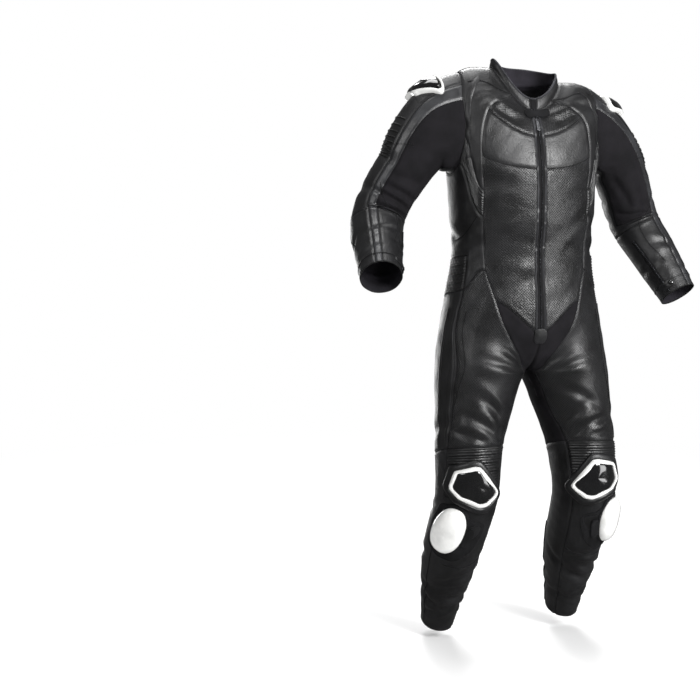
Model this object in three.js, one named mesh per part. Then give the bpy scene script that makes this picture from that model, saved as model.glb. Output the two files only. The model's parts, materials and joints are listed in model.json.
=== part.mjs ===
// Leather race suit, worn shape with no wearer. Millimetres, +Z up, front faces -Y, wearer's left is +X.
// The origin is the middle of the neck base, where the wearer's neck and shoulders carry the suit.
import * as THREE from 'three';

// Driving dimensions
const leatherWall = 2.0;
const stretchWall = 1.6;
const liningWall = 1.2;
const liningGap = 0.7;
const seamInset = 0.2;
const hipDrop = 560;
const crotchDrop = 690;
const ribRise = 2.2;
const sleeveBlend = 120;
const squareFrom = 160;
const underarmFollow = 0.3;
const riseReach = 0.1;
const shoulderDrop = 80;
const shoulderFade = 55;

// Half sections of the torso. drop names the section; front, side and back give its three corner points.
const torsoColumns = ['drop', 'frontY', 'frontZ', 'sideX', 'sideY', 'sideZ', 'backY', 'backZ', 'flat'];
const torsoSections = table(torsoColumns, [
  [20, -68, -40, 88, 2, 32, 74, 30, 1.0],
  [60, -90, -70, 130, 6, 33, 98, 6, 0.95],
  [95, -104, -100, 172, 10, 22, 116, -44, 0.9],
  [130, -114, -132, 198, 12, -22, 130, -90, 0.85],
  [170, -122, -172, 202, 12, -104, 136, -142, 0.82],
  [215, -128, -215, 189, 10, -200, 134, -200, 0.82],
  [300, -128, -300, 184, 6, -300, 122, -300, 0.82],
  [385, -118, -385, 177, 4, -385, 110, -385, 0.82],
  [470, -124, -470, 188, 6, -470, 124, -470, 0.82],
  [560, -134, -560, 204, 6, -560, 146, -560, 0.85],
  [640, -132, -640, 217, 2, -640, 148, -640, 0.9],
  [690, -120, -690, 221, -4, -690, 140, -690, 1.0],
]);

// Closed sections of a leg. lean tips a section so that it stays square to the bent leg.
const legColumns = ['drop', 'middleX', 'middleY', 'halfX', 'halfY', 'lean'];
const legSections = table(legColumns, [
  [560, 104, 4, 104, 138, 0],
  [640, 109, 2, 109, 136, 0],
  [690, 112, -6, 112, 124, -0.04],
  [722, 121, -11, 105, 117, -0.08],
  [776, 131, -20, 97, 108, -0.12],
  [878, 150, -38, 83, 98, -0.14],
  [985, 158, -50, 78, 90, 0.04],
  [1055, 163, -22, 75, 84, 0.28],
  [1130, 168, 22, 72, 80, 0.4],
  [1215, 172, 64, 64, 72, 0.42],
  [1290, 175, 96, 52, 58, 0.42],
  [1362, 177, 122, 42, 45, 0.42],
]);

// Arm middle lines and half widths, one row for each place along the sleeve; outwards is +X on both sides.
const armColumns = ['along', 'x', 'y', 'z', 'halfUp', 'halfDown', 'halfFront'];
const armSections = {
  left: table(armColumns, [
    [0, 172, 10, -88, 82, 82, 74],
    [62, 226, 20, -106, 82, 82, 76],
    [150, 290, 48, -192, 68, 68, 67],
    [290, 342, 76, -304, 64, 64, 64],
    [405, 382, 26, -400, 58, 58, 58],
    [545, 424, -42, -512, 45, 45, 47],
  ]),
  right: table(armColumns, [
    [0, 172, 10, -70, 96, 108, 74],
    [62, 234, 16, -82, 98, 98, 76],
    [150, 300, 28, -178, 70, 70, 70],
    [250, 348, 40, -260, 66, 66, 66],
    [300, 366, 34, -302, 66, 66, 66],
    [348, 377, 8, -338, 65, 65, 64],
    [410, 385, -32, -376, 60, 60, 60],
    [545, 402, -122, -452, 49, 49, 50],
  ]),
};

// Uneven hang of the two sides
const poses = { left: { shoulder: 0, leg: 12 }, right: { shoulder: 32, leg: 0 } };

// Pattern lines of one half. A line's place on a section is its share of the way from front to back.
const lineNames = ['middle', 'tape', 'princess', 'armFront', 'side', 'armRear', 'slantOuter', 'slantInner', 'spine'];
const lineSteps = [1, 3, 4, 2, 2, 3, 1, 2];
const sections = [
  section('neck', 2, [0, 0.028, 0.2, 0.42, 0.5, 0.58, 0.66, 0.78, 1], [20, 20, 20, 20, 20, 20, 20, 20, 20]),
  section('yoke', 2, [0, 0.02, 0.22, 0.4, 0.5, 0.6, 0.67, 0.78, 1], [60, 60, 60, 64, 60, 64, 62, 60, 60]),
  section('chestTop', 2, [0, 0.0146, 0.235, 0.383, 0.5, 0.617, 0.68, 0.78, 1],
    [100, 100, 106, 111, 94, 111, 118, 118, 118]),
  section('bandLow', 1, [0, 0.013, 0.25, 0.343, 0.5, 0.657, 0.72, 0.8, 1],
    [184, 184, 178, 140, 140, 140, 155, 160, 162]),
  section('ribTop', 2, [0, 0.0137, 0.262, 0.337, 0.5, 0.663, 0.745, 0.82, 1],
    [221, 221, 243, 168, 168, 168, 190, 197, 200]),
  section('armpit', 4, [0, 0.0139, 0.27, 0.383, 0.5, 0.617, 0.78, 0.85, 1],
    [290, 290, 300, 196, 210, 196, 236, 250, 255]),
  section('waist', 2, [0, 0.0143, 0.27, 0.375, 0.5, 0.62, 0.89, 0.945, 1],
    [370, 370, 385, 396, 402, 410, 428, 430, 430]),
  section('lumbarLow', 2, [0, 0.0138, 0.255, 0.37, 0.5, 0.62, 0.84, 0.92, 1],
    [470, 470, 430, 480, 492, 510, 538, 545, 546]),
  section('bellyTip', 2, [0, 0.0128, 0.19, 0.38, 0.5, 0.61, 0.82, 0.9, 1],
    [592, 590, 505, 535, 545, 560, 588, 596, 598]),
  section('hip', 3, [0, 0.016, 0.105, 0.39, 0.5, 0.61, 0.8, 0.88, 1],
    [640, 640, 630, 630, 630, 632, 638, 642, 642]),
  section('crotch', 3, [0, 0.03, 0.075, 0.395, 0.5, 0.61, 0.79, 0.87, 1],
    [690, 690, 690, 690, 690, 690, 690, 690, 690]),
  section('thigh', 2, [0, 0.035, 0.08, 0.4, 0.5, 0.61, 0.78, 0.86, 1],
    [785, 785, 785, 785, 785, 785, 785, 785, 785]),
  section('kneeTop', 3, [0, 0.045, 0.11, 0.42, 0.5, 0.6, 0.76, 0.86, 1],
    [878, 876, 872, 876, 884, 892, 898, 894, 878]),
  section('kneeMid', 2, [0, 0.045, 0.12, 0.43, 0.51, 0.6, 0.76, 0.86, 1],
    [985, 985, 985, 985, 985, 985, 985, 985, 985]),
  section('kneeLow', 2, [0, 0.045, 0.12, 0.44, 0.52, 0.6, 0.76, 0.86, 1],
    [1055, 1055, 1055, 1055, 1055, 1055, 1055, 1055, 1055]),
  section('shin', 2, [0, 0.045, 0.12, 0.44, 0.54, 0.62, 0.76, 0.86, 1],
    [1130, 1130, 1130, 1130, 1130, 1130, 1130, 1130, 1130]),
  section('calf', 4, [0, 0.045, 0.12, 0.44, 0.55, 0.64, 0.76, 0.86, 1],
    [1205, 1205, 1205, 1205, 1210, 1215, 1218, 1215, 1205]),
  section('hem', 0, [0, 0.045, 0.12, 0.44, 0.55, 0.64, 0.76, 0.86, 1],
    [1362, 1362, 1362, 1362, 1362, 1362, 1362, 1362, 1362]),
];

// Sleeve rings: where each row lies along the arm.
const sleeveRows = [0, 26, 54, 84, 116, 150, 186, 222, 256, 290, 324, 362, 402, 444, 488, 530];
const elbowRow = 10;
const stretchRow = 9;

// Collar rings: rise above the neck line at the front, side and back.
const collarColumns = ['share', 'front', 'side', 'back', 'inward'];
const collarRings = table(collarColumns, [
  [0.5, 13, 11, 20, 1],
  [1, 26, 22, 40, 5],
]);

// Largest folds: place on the half body, length along, half width across, depth (below zero is a hollow).
const foldColumns = ['u', 'drop', 'turn', 'length', 'width', 'depth'];
const bodyFolds = table(foldColumns, [
  [0.34, 800, 62, 120, 27, -5],
  [0.3, 842, 70, 130, 24, -6],
  [0.2, 760, 55, 110, 27, -5],
  [0.76, 700, 80, 130, 27, -7],
  [0.74, 745, 78, 150, 26, -8],
  [0.72, 790, 74, 140, 26, -7],
  [0.7, 838, 80, 120, 24, -6],
  [0.24, 1110, 80, 90, 20, -4],
  [0.22, 1190, 82, 90, 20, -5],
  [0.3, 1245, 76, 90, 20, -5],
  [0.24, 1300, 84, 80, 17, -4],
  [0.78, 1250, 80, 90, 20, -4],
  [0.78, 1305, 84, 80, 17, -4],
  [0.93, 330, 10, 130, 20, -5],
  [0.4, 340, 66, 110, 26, -4],
]);
const armFolds = table(foldColumns, [
  [0.25, 250, 78, 80, 20, -5],
  [0.22, 296, 84, 90, 20, -6],
  [0.3, 345, 76, 80, 20, -5],
  [0.7, 210, 70, 90, 22, -4],
  [0.3, 430, 74, 70, 17, -3],
]);

const colours = {
  leather: [0x17171a, 0.42],
  perforated: [0x1a1a1d, 0.5],
  stretch: [0x232228, 0.9],
  ribbed: [0x151517, 0.55],
  glint: [0x3a3b3e, 0.35],
  lining: [0x2a2b2e, 0.95],
  zip: [0x3c3d40, 0.4],
  cup: [0xe9e9e9, 0.25],
  slider: [0xf2f2f0, 0.22],
};

function table(columns, rows) {
  return rows.map((row) => Object.fromEntries(columns.map((name, index) => [name, row[index]])));
}

function section(name, steps, shares, drops) {
  return { name, steps, shares, drops };
}

// Monotone cubic through a table's column
function read(rows, knot, column, x) {
  const last = rows.length - 1;
  if (x <= rows[0][knot]) return rows[0][column];
  if (x >= rows[last][knot]) return rows[last][column];
  let i = 0;
  while (rows[i + 1][knot] < x) i += 1;
  const slope = (k) => (rows[k + 1][column] - rows[k][column]) / (rows[k + 1][knot] - rows[k][knot]);
  const tangent = (k) => {
    if (k === 0) return slope(0);
    if (k === last) return slope(last - 1);
    const before = slope(k - 1);
    const after = slope(k);
    return before * after <= 0 ? 0 : (2 * before * after) / (before + after);
  };
  const span = rows[i + 1][knot] - rows[i][knot];
  const t = (x - rows[i][knot]) / span;
  const startWeight = 2 * t ** 3 - 3 * t ** 2 + 1;
  const endWeight = 3 * t ** 2 - 2 * t ** 3;
  const startPull = t ** 3 - 2 * t ** 2 + t;
  const endPull = t ** 3 - t ** 2;
  return startWeight * rows[i][column] + endWeight * rows[i + 1][column]
    + span * (startPull * tangent(i) + endPull * tangent(i + 1));
}

function torsoPoint(u, drop) {
  const value = (column) => read(torsoSections, 'drop', column, drop);
  const angle = Math.PI * u;
  const front = u < 0.5;
  const endY = value(front ? 'frontY' : 'backY');
  const endZ = value(front ? 'frontZ' : 'backZ');
  const across = Math.sin(angle);
  const along = Math.abs(Math.cos(angle)) ** value('flat');
  return new THREE.Vector3(
    value('sideX') * across,
    value('sideY') + (endY - value('sideY')) * along,
    endZ + (value('sideZ') - endZ) * across ** 2,
  );
}

function legPoint(u, drop) {
  const value = (column) => read(legSections, 'drop', column, drop);
  const angle = 2 * Math.PI * u;
  const offsetY = -value('halfY') * Math.sin(angle);
  return new THREE.Vector3(
    value('middleX') - value('halfX') * Math.cos(angle),
    value('middleY') + offsetY,
    -drop + value('lean') * offsetY,
  );
}

// Below the hip the half section closes round the leg; the middle line is the rise, then the inseam.
function plainBodyPoint(u, drop) {
  if (drop <= hipDrop) return torsoPoint(u, drop);
  if (drop >= crotchDrop) return legPoint(u, drop);
  const t = (drop - hipDrop) / (crotchDrop - hipDrop);
  const round = 1 - Math.sqrt(1 - t * t);
  const even = THREE.MathUtils.smoothstep(t, 0, 1);
  const nearRise = Math.exp(-((Math.min(u, 1 - u) / riseReach) ** 2));
  return torsoPoint(u, drop).lerp(legPoint(u, drop), even + (round - even) * nearRise);
}

function foldDepth(folds, du, dv, sizeU) {
  let depth = 0;
  for (const fold of folds) {
    const turn = THREE.MathUtils.degToRad(fold.turn);
    const x = (du - fold.u) * sizeU;
    const y = dv - fold.drop;
    const along = x * Math.sin(turn) + y * Math.cos(turn);
    const across = x * Math.cos(turn) - y * Math.sin(turn);
    const near = (along / fold.length * 2) ** 2 + (across / fold.width) ** 2;
    depth += fold.depth * Math.exp(-near);
  }
  return depth;
}

function pointNormal(point, u, v, stepU, stepV) {
  const du = point(u + stepU, v).sub(point(u - stepU, v));
  const dv = point(u, v + stepV).sub(point(u, v - stepV));
  return dv.cross(du).normalize();
}

function bodyPoint(u, drop) {
  const point = plainBodyPoint(u, drop);
  if (u < 0.02 || u > 0.98) return point;
  const depth = foldDepth(bodyFolds, u, drop, drop > crotchDrop ? 560 : 480);
  if (Math.abs(depth) < 0.05) return point;
  return point.addScaledVector(pointNormal(plainBodyPoint, u, drop, 0.01, 4), depth);
}

// The half body is mirrored for the other side; shares below 0 or above 1 run on to the other half.
function mirrored(surface, side, u, drop) {
  if (u < 0) return mirrored(surface, -side, -u, drop);
  if (u > 1) return mirrored(surface, -side, 2 - u, drop);
  const point = surface(u, drop);
  point.x *= side;
  point.z += poseLift(side, u, drop);
  return point;
}

// The suit hangs a little unevenly: one shoulder rides up, and the legs differ in height
function poseLift(side, u, drop) {
  const pose = side > 0 ? poses.left : poses.right;
  const fade = Math.exp(-((Math.max(0, drop - shoulderDrop) / shoulderFade) ** 2));
  const shoulder = pose.shoulder * fade * Math.sin(Math.PI * u) ** 2;
  const leg = pose.leg * Math.max(0, (drop - crotchDrop) / crotchDrop);
  return shoulder + leg;
}

function bodySidePoint(side, u, drop) {
  return mirrored(bodyPoint, side, u, drop);
}

const columnCount = lineSteps.reduce((sum, steps) => sum + steps, 0);
const rowCount = sections.reduce((sum, row) => sum + row.steps, 0);
const columnAt = Object.fromEntries(lineNames.map((name, index) => [
  name, lineSteps.slice(0, index).reduce((sum, steps) => sum + steps, 0),
]));
const rowAt = Object.fromEntries(sections.map((row, index) => [
  row.name, sections.slice(0, index).reduce((sum, entry) => sum + entry.steps, 0),
]));

function bend(values, index, t) {
  const before = values[Math.max(index - 1, 0)];
  const start = values[index];
  const end = values[Math.min(index + 1, values.length - 1)];
  const after = values[Math.min(index + 2, values.length - 1)];
  const startSlope = (end - before) / 2;
  const endSlope = (after - start) / 2;
  return start + t * (startSlope + t * (3 * (end - start) - 2 * startSlope - endSlope
    + t * (2 * (start - end) + startSlope + endSlope)));
}

// Share and drop of grid point (column, row)
function gridPlace(column, row) {
  let line = 0;
  while (line < lineSteps.length - 1 && column >= columnAt[lineNames[line + 1]]) line += 1;
  const across = (column - columnAt[lineNames[line]]) / lineSteps[line];
  let level = 0;
  while (level < sections.length - 2 && row >= rowAt[sections[level + 1].name]) level += 1;
  const down = (row - rowAt[sections[level].name]) / sections[level].steps;
  const eased = sections[level].name === 'hip' ? Math.sin(down * Math.PI / 2) : down;
  const lineValue = (kind, index) => {
    const start = sections[level][kind][index];
    return start + (sections[level + 1][kind][index] - start) * eased;
  };
  const mix = (kind) => {
    const values = lineNames.map((name, index) => lineValue(kind, index));
    return across === 0 ? values[line] : bend(values, line, across);
  };
  return [line === 0 && across === 0 ? 0 : mix('shares'), mix('drops')];
}

// The armhole is an oval in share and drop; its rim points replace the grid's
const armhole = { share: 0.5, drop: 152, halfShare: 0.168, halfDrop: 58 };
const armRowTop = rowAt.chestTop;
const armRowLow = rowAt.armpit;
const armholeRing = [];
for (let column = columnAt.side; column > columnAt.armFront; column -= 1) armholeRing.push([column, armRowLow]);
for (let row = armRowLow; row > armRowTop; row -= 1) armholeRing.push([columnAt.armFront, row]);
for (let column = columnAt.armFront; column < columnAt.armRear; column += 1) armholeRing.push([column, armRowTop]);
for (let row = armRowTop; row < armRowLow; row += 1) armholeRing.push([columnAt.armRear, row]);
for (let column = columnAt.armRear; column > columnAt.side; column -= 1) armholeRing.push([column, armRowLow]);
const ringCount = armholeRing.length;
const ringIndex = new Map(armholeRing.map(([column, row], index) => [`${column},${row}`, index]));

function armholePlace(index) {
  const angle = 2 * Math.PI * index / ringCount;
  return [
    armhole.share - armhole.halfShare * Math.sin(angle),
    armhole.drop + armhole.halfDrop * Math.cos(angle),
  ];
}

function armFrame(sideName, along) {
  const rows = armSections[sideName];
  const centre = (s) => new THREE.Vector3(
    read(rows, 'along', 'x', s), read(rows, 'along', 'y', s), read(rows, 'along', 'z', s),
  );
  const axis = centre(along + 12).sub(centre(along - 12)).normalize();
  const square = new THREE.Vector3(-1, 0, -0.6);
  square.addScaledVector(axis, -square.dot(axis)).normalize();
  const forward = new THREE.Vector3().crossVectors(square, axis);
  // The first rings stand upright like the armhole and turn square to the arm further down
  const down = new THREE.Vector3(0.1, 0, -1).lerp(square, THREE.MathUtils.smoothstep(along, 0, squareFrom));
  return { centre: centre(along), down: down.normalize(), forward };
}

// Sleeve surface for a place round the arm (0 under the arm, 0.25 front, 0.5 top) and along it
function sleevePoint(sideName, around, along) {
  const rows = armSections[sideName];
  const frame = armFrame(sideName, along);
  const angle = 2 * Math.PI * around;
  const folds = foldDepth(armFolds, ((around % 1) + 1) % 1, along, 420);
  const half = Math.cos(angle) > 0 ? 'halfDown' : 'halfUp';
  const tube = frame.centre.clone()
    .addScaledVector(frame.down, (read(rows, 'along', half, along) + folds) * Math.cos(angle))
    .addScaledVector(frame.forward, (read(rows, 'along', 'halfFront', along) + folds) * Math.sin(angle));
  if (along >= sleeveBlend) return tube;
  const [share, drop] = armholePlace(around * ringCount);
  const start = armFrame(sideName, 0).centre;
  // The rim rides out with the arm over the shoulder but stays back under the arm
  const follow = underarmFollow + (1 - underarmFollow) * (1 - Math.cos(angle)) / 2;
  const rim = bodyPoint(share, drop).addScaledVector(frame.centre.clone().sub(start), follow);
  rim.z += poseLift(sideName === 'left' ? 1 : -1, share, drop);
  const t = Math.max(along, 0) / sleeveBlend;
  return rim.lerp(tube, t * t * (3 - 2 * t));
}

function sleeveSidePoint(side, around, along) {
  const point = sleevePoint(side > 0 ? 'left' : 'right', around, along);
  point.x *= side;
  return point;
}

// All grid points and the four-sided faces between them, each face marked with its piece
const points = new Map();
const faces = [];

function place(key, point) {
  if (!points.has(key)) points.set(key, { point, normal: new THREE.Vector3() });
  return key;
}

function bodyKey(side, column, row) {
  const crotchRow = rowAt.crotch;
  const edge = column === 0 || column === columnCount;
  const [share, drop] = ringIndex.has(`${column},${row}`)
    ? armholePlace(ringIndex.get(`${column},${row}`)) : gridPlace(column, row);
  if (edge && row === crotchRow) {
    return place('crotch', new THREE.Vector3(0, bodyPoint(0, drop).y, bodyPoint(0, drop).z));
  }
  if (edge && row < crotchRow) {
    const point = bodyPoint(share, drop);
    point.x = 0;
    return place(`middle,${column},${row}`, point);
  }
  const realColumn = edge ? 0 : column;
  return place(`${side},${realColumn},${row}`, bodySidePoint(side, edge ? 0 : share, drop));
}

function addFace(piece, side, keys, grid) {
  faces.push({ piece, keys: side > 0 ? keys : [...keys].reverse(), side, grid });
}

function bodyPiece(column, row) {
  const lineOf = (name) => columnAt[name];
  const rowOf = (name) => rowAt[name];
  const between = (from, to) => column >= lineOf(from) && column < lineOf(to);
  const rows = (from, to) => row >= rowOf(from) && row < rowOf(to);
  if (rows('chestTop', 'armpit') && between('armFront', 'armRear')) return null;
  if (between('middle', 'tape') && row < rowOf('bellyTip')) return 'front_zip';
  if (row < rowOf('chestTop')) {
    if (column < lineOf('princess')) return 'chest_upper';
    if (column < lineOf('armRear')) return 'yoke';
    if (column < lineOf('slantOuter')) return 'blade_accordion';
    if (column < lineOf('slantInner')) return 'back_stripe';
    return 'back_centre';
  }
  if (row < rowOf('waist')) {
    if (column < lineOf('princess')) return rows('chestTop', 'bandLow') ? 'chest_band' : 'belly';
    if (column < lineOf('armFront')) {
      if (rows('chestTop', 'ribTop')) return 'yoke';
      return rows('ribTop', 'armpit') ? 'rib_accordion' : 'side_panel';
    }
    if (column < lineOf('armRear')) return 'side_panel';
    if (column < lineOf('slantOuter')) return rows('chestTop', 'bandLow') ? 'blade_accordion' : 'back_side';
    if (column < lineOf('slantInner')) return 'back_stripe';
    return 'back_centre';
  }
  if (row < rowOf('lumbarLow')) {
    if (column < lineOf('princess')) return 'belly';
    return column < lineOf('armFront') ? 'side_panel' : 'lumbar_band';
  }
  if (row < rowOf('kneeTop')) {
    if (column < lineOf('princess')) {
      if (row < rowOf('bellyTip')) return 'belly';
      return 'groin_stretch';
    }
    if (column < lineOf('armFront')) return 'thigh_front';
    if (column < lineOf('armRear')) return 'hip_panel';
    if (column >= lineOf('slantInner') && row >= rowOf('crotch')) return 'groin_stretch';
    return 'seat';
  }
  if (between('princess', 'armFront') && row < rowOf('kneeMid')) return 'knee_accordion';
  if (between('armRear', 'slantInner') && row < rowOf('calf')) return 'calf_stretch';
  if (between('princess', 'armRear')) return 'shin';
  return 'calf_leather';
}

const singlePieces = new Set(['front_zip', 'back_centre', 'lumbar_band']);
for (const side of [1, -1]) {
  const suffix = side > 0 ? '_left' : '_right';
  for (let row = 0; row < rowCount; row += 1) {
    for (let column = 0; column < columnCount; column += 1) {
      const piece = bodyPiece(column, row);
      if (piece === null) continue;
      const name = singlePieces.has(piece) ? piece : piece + suffix;
      const keys = [
        bodyKey(side, column, row), bodyKey(side, column, row + 1),
        bodyKey(side, column + 1, row + 1), bodyKey(side, column + 1, row),
      ];
      addFace(name, side, keys, { column, row });
    }
  }
}

// Sleeve faces
const stripeFrom = 6;
const stripeTo = 7;
function sleevePiece(index, row) {
  if (index >= stripeFrom && index < stripeTo) return 'sleeve_stripe';
  if (row >= elbowRow) return 'forearm';
  if (index >= 1 && index < stripeFrom && row < stretchRow) return 'arm_stretch';
  return 'sleeve_outer';
}

function sleeveKey(side, index, row) {
  const around = ((index % ringCount) + ringCount) % ringCount;
  if (row === 0) {
    const [column, gridRow] = armholeRing[around];
    return bodyKey(side, column, gridRow);
  }
  return place(`sleeve,${side},${around},${row}`, sleeveSidePoint(side, around / ringCount, sleeveRows[row]));
}

for (const side of [1, -1]) {
  const suffix = side > 0 ? '_left' : '_right';
  for (let row = 0; row < sleeveRows.length - 1; row += 1) {
    for (let index = 0; index < ringCount; index += 1) {
      const keys = [
        sleeveKey(side, index, row), sleeveKey(side, index, row + 1),
        sleeveKey(side, index + 1, row + 1), sleeveKey(side, index + 1, row),
      ];
      addFace(sleevePiece(index, row) + suffix, side, keys, { column: index, row });
    }
  }
}

// Collar faces: rings that stand on the neck line
function collarPoint(side, column, ring) {
  const [share, drop] = gridPlace(column, 0);
  const base = bodySidePoint(side, share, drop);
  if (ring === 0) return base;
  const entry = collarRings[ring - 1];
  const angle = Math.PI * share;
  const ends = share < 0.5 ? entry.front : entry.back;
  const rise = ends + (entry.side - ends) * Math.sin(angle) ** 2;
  const radius = Math.hypot(base.x, base.y);
  const inward = 1 - entry.inward / radius;
  return new THREE.Vector3(base.x * inward, base.y * inward, base.z + rise);
}

function collarKey(side, column, ring) {
  if (ring === 0) return bodyKey(side, column, 0);
  const edge = column === 0 || column === columnCount;
  const point = collarPoint(side, column, ring);
  if (edge) point.x = 0;
  return place(edge ? `collar,${column},${ring}` : `collar,${side},${column},${ring}`, point);
}

for (const side of [1, -1]) {
  for (let ring = 0; ring < collarRings.length; ring += 1) {
    for (let column = 0; column < columnCount; column += 1) {
      const keys = [
        collarKey(side, column, ring + 1), collarKey(side, column, ring),
        collarKey(side, column + 1, ring), collarKey(side, column + 1, ring + 1),
      ];
      addFace(column < columnAt.tape ? 'front_zip' : 'collar', side, keys, { column, row: -1 - ring });
    }
  }
}

// Shared normals from every face round a point
for (const face of faces) {
  const [a, b, c, d] = face.keys.map((key) => points.get(key).point);
  const normal = new THREE.Vector3().crossVectors(c.clone().sub(a), d.clone().sub(b));
  for (const key of face.keys) points.get(key).normal.add(normal);
}
for (const entry of points.values()) entry.normal.normalize();

// Pieces with raised ribs: subdivisions of each face down the rows, two for each rib
const ribSteps = { knee_accordion: 8, rib_accordion: 6, blade_accordion: 4, lumbar_band: 6 };

// One closed wall from a set of faces: outer points, the same points moved in, and a rim
function wallGeometry(pieceFaces, thickness, ribSplit) {
  const corners = insetCorners(pieceFaces, thickness);
  const cells = ribSplit ? ribCells(pieceFaces, corners, ribSplit) : pieceFaces.map((face) => face.keys);
  const positions = [];
  const triangle = (a, b, c) => {
    if (a !== b && b !== c && a !== c) positions.push(...a.toArray(), ...b.toArray(), ...c.toArray());
  };
  const edges = boundaryEdges(cells);
  for (const keys of cells) {
    const [a, b, c, d] = keys.map((key) => corners.get(key));
    triangle(a.outer, b.outer, c.outer);
    triangle(a.outer, c.outer, d.outer);
    triangle(c.inner, b.inner, a.inner);
    triangle(d.inner, c.inner, a.inner);
  }
  for (const [startKey, endKey] of edges) {
    const start = corners.get(startKey);
    const end = corners.get(endKey);
    // Both walls at a seam split their rims along the same diagonal
    if (startKey < endKey) {
      triangle(start.outer, start.inner, end.inner);
      triangle(start.outer, end.inner, end.outer);
    } else {
      triangle(start.outer, start.inner, end.outer);
      triangle(start.inner, end.inner, end.outer);
    }
  }
  return soup(positions);
}

function soup(positions) {
  const geometry = new THREE.BufferGeometry();
  geometry.setAttribute('position', new THREE.Float32BufferAttribute(positions, 3));
  return geometry;
}

function boundaryEdges(cells) {
  const edges = new Map();
  for (const keys of cells) {
    keys.forEach((key, index) => {
      const next = keys[(index + 1) % keys.length];
      if (key === next) return;
      if (edges.has(`${next}|${key}`)) edges.delete(`${next}|${key}`);
      else edges.set(`${key}|${next}`, [key, next]);
    });
  }
  return [...edges.values()];
}

// A piece's corner points, with those on its edge drawn in by half the seam gap
function insetCorners(pieceFaces, thickness) {
  const corners = new Map();
  for (const face of pieceFaces) {
    for (const key of face.keys) corners.set(key, { inset: [] });
  }
  for (const [start, end] of boundaryEdges(pieceFaces.map((face) => face.keys))) {
    const along = points.get(end).point.clone().sub(points.get(start).point);
    for (const key of [start, end]) {
      corners.get(key).inset.push(new THREE.Vector3().crossVectors(points.get(key).normal, along).normalize());
    }
  }
  for (const [key, entry] of corners) {
    const { point, normal } = points.get(key);
    entry.normal = normal;
    entry.outer = point.clone();
    if (entry.inset.length > 0) {
      const sum = entry.inset.reduce((total, inward) => total.add(inward), new THREE.Vector3());
      const spread = Math.max(sum.lengthSq() / entry.inset.length, 0.4);
      entry.outer.addScaledVector(sum, seamInset / spread);
    }
    entry.inner = entry.outer.clone().addScaledVector(normal, -thickness);
  }
  return corners;
}

// Splits each face down its rows and lifts every other line of outer points into a rib
function ribCells(pieceFaces, corners, ribSplit) {
  const cells = [];
  const onEdge = new Set(boundaryEdges(pieceFaces.map((face) => face.keys)).map(([a, b]) => [a, b].sort().join('|')));
  for (const face of pieceFaces) {
    const forward = face.side > 0 ? face.keys : [...face.keys].reverse();
    const [topNear, lowNear, lowFar, topFar] = forward;
    const sideLine = (top, low) => {
      const line = [];
      const edge = onEdge.has([top, low].sort().join('|'));
      for (let step = 0; step <= ribSplit; step += 1) {
        const share = step / ribSplit;
        if (step === 0 || step === ribSplit) {
          line.push(step === 0 ? top : low);
          continue;
        }
        const key = `${top}>${low}:${step}`;
        if (!corners.has(key)) {
          const start = corners.get(top);
          const end = corners.get(low);
          const normal = start.normal.clone().lerp(end.normal, share).normalize();
          const outer = start.outer.clone().lerp(end.outer, share);
          if (!edge && step % 2 === 1) outer.addScaledVector(normal, ribRise);
          corners.set(key, { normal, outer, inner: start.inner.clone().lerp(end.inner, share) });
        }
        line.push(key);
      }
      return line;
    };
    const near = sideLine(topNear, lowNear);
    const far = sideLine(topFar, lowFar);
    for (let step = 0; step < ribSplit; step += 1) {
      const keys = [near[step], near[step + 1], far[step + 1], far[step]];
      cells.push(face.side > 0 ? keys : keys.reverse());
    }
  }
  return cells;
}

// A piece that lies on a panel: rings of points round a centre, moved out from the panel's own surface
function overlay(surface, outline, { base, crown, rows }, wall) {
  const steps = 16;
  const ringAt = (share, lift) => {
    const ring = [];
    for (let step = 0; step < steps; step += 1) {
      const angle = 2 * Math.PI * step / steps;
      const [x, y] = outline(angle);
      ring.push(surface(x * share, y * share, lift));
    }
    return ring;
  };
  const top = rows.map(([share, lift]) => ringAt(share, lift));
  const low = rows.map(([share, lift]) => ringAt(share, wall ? Math.max(lift - wall, base) : base));
  const positions = [];
  const triangle = (a, b, c) => positions.push(...a.toArray(), ...b.toArray(), ...c.toArray());
  const cover = (rings, middle, flip) => {
    for (let step = 0; step < steps; step += 1) {
      const next = (step + 1) % steps;
      const face = (a, b, c) => (flip ? triangle(c, b, a) : triangle(a, b, c));
      face(middle, rings[0][step], rings[0][next]);
      for (let ring = 0; ring < rings.length - 1; ring += 1) {
        face(rings[ring][step], rings[ring + 1][step], rings[ring + 1][next]);
        face(rings[ring][step], rings[ring + 1][next], rings[ring][next]);
      }
    }
  };
  cover(top, surface(0, 0, crown), false);
  cover(low, surface(0, 0, wall ? crown - wall : base), true);
  const outerTop = top[top.length - 1];
  const outerLow = low[low.length - 1];
  for (let step = 0; step < steps; step += 1) {
    const next = (step + 1) % steps;
    triangle(outerTop[step], outerLow[step], outerLow[next]);
    triangle(outerTop[step], outerLow[next], outerTop[next]);
  }
  return soup(positions);
}

// Heights of an overlay over its panel; a row has a share of the way out from the centre, and the height there
function liftTable(base, crown, rows) {
  return { base, crown, rows };
}

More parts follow.
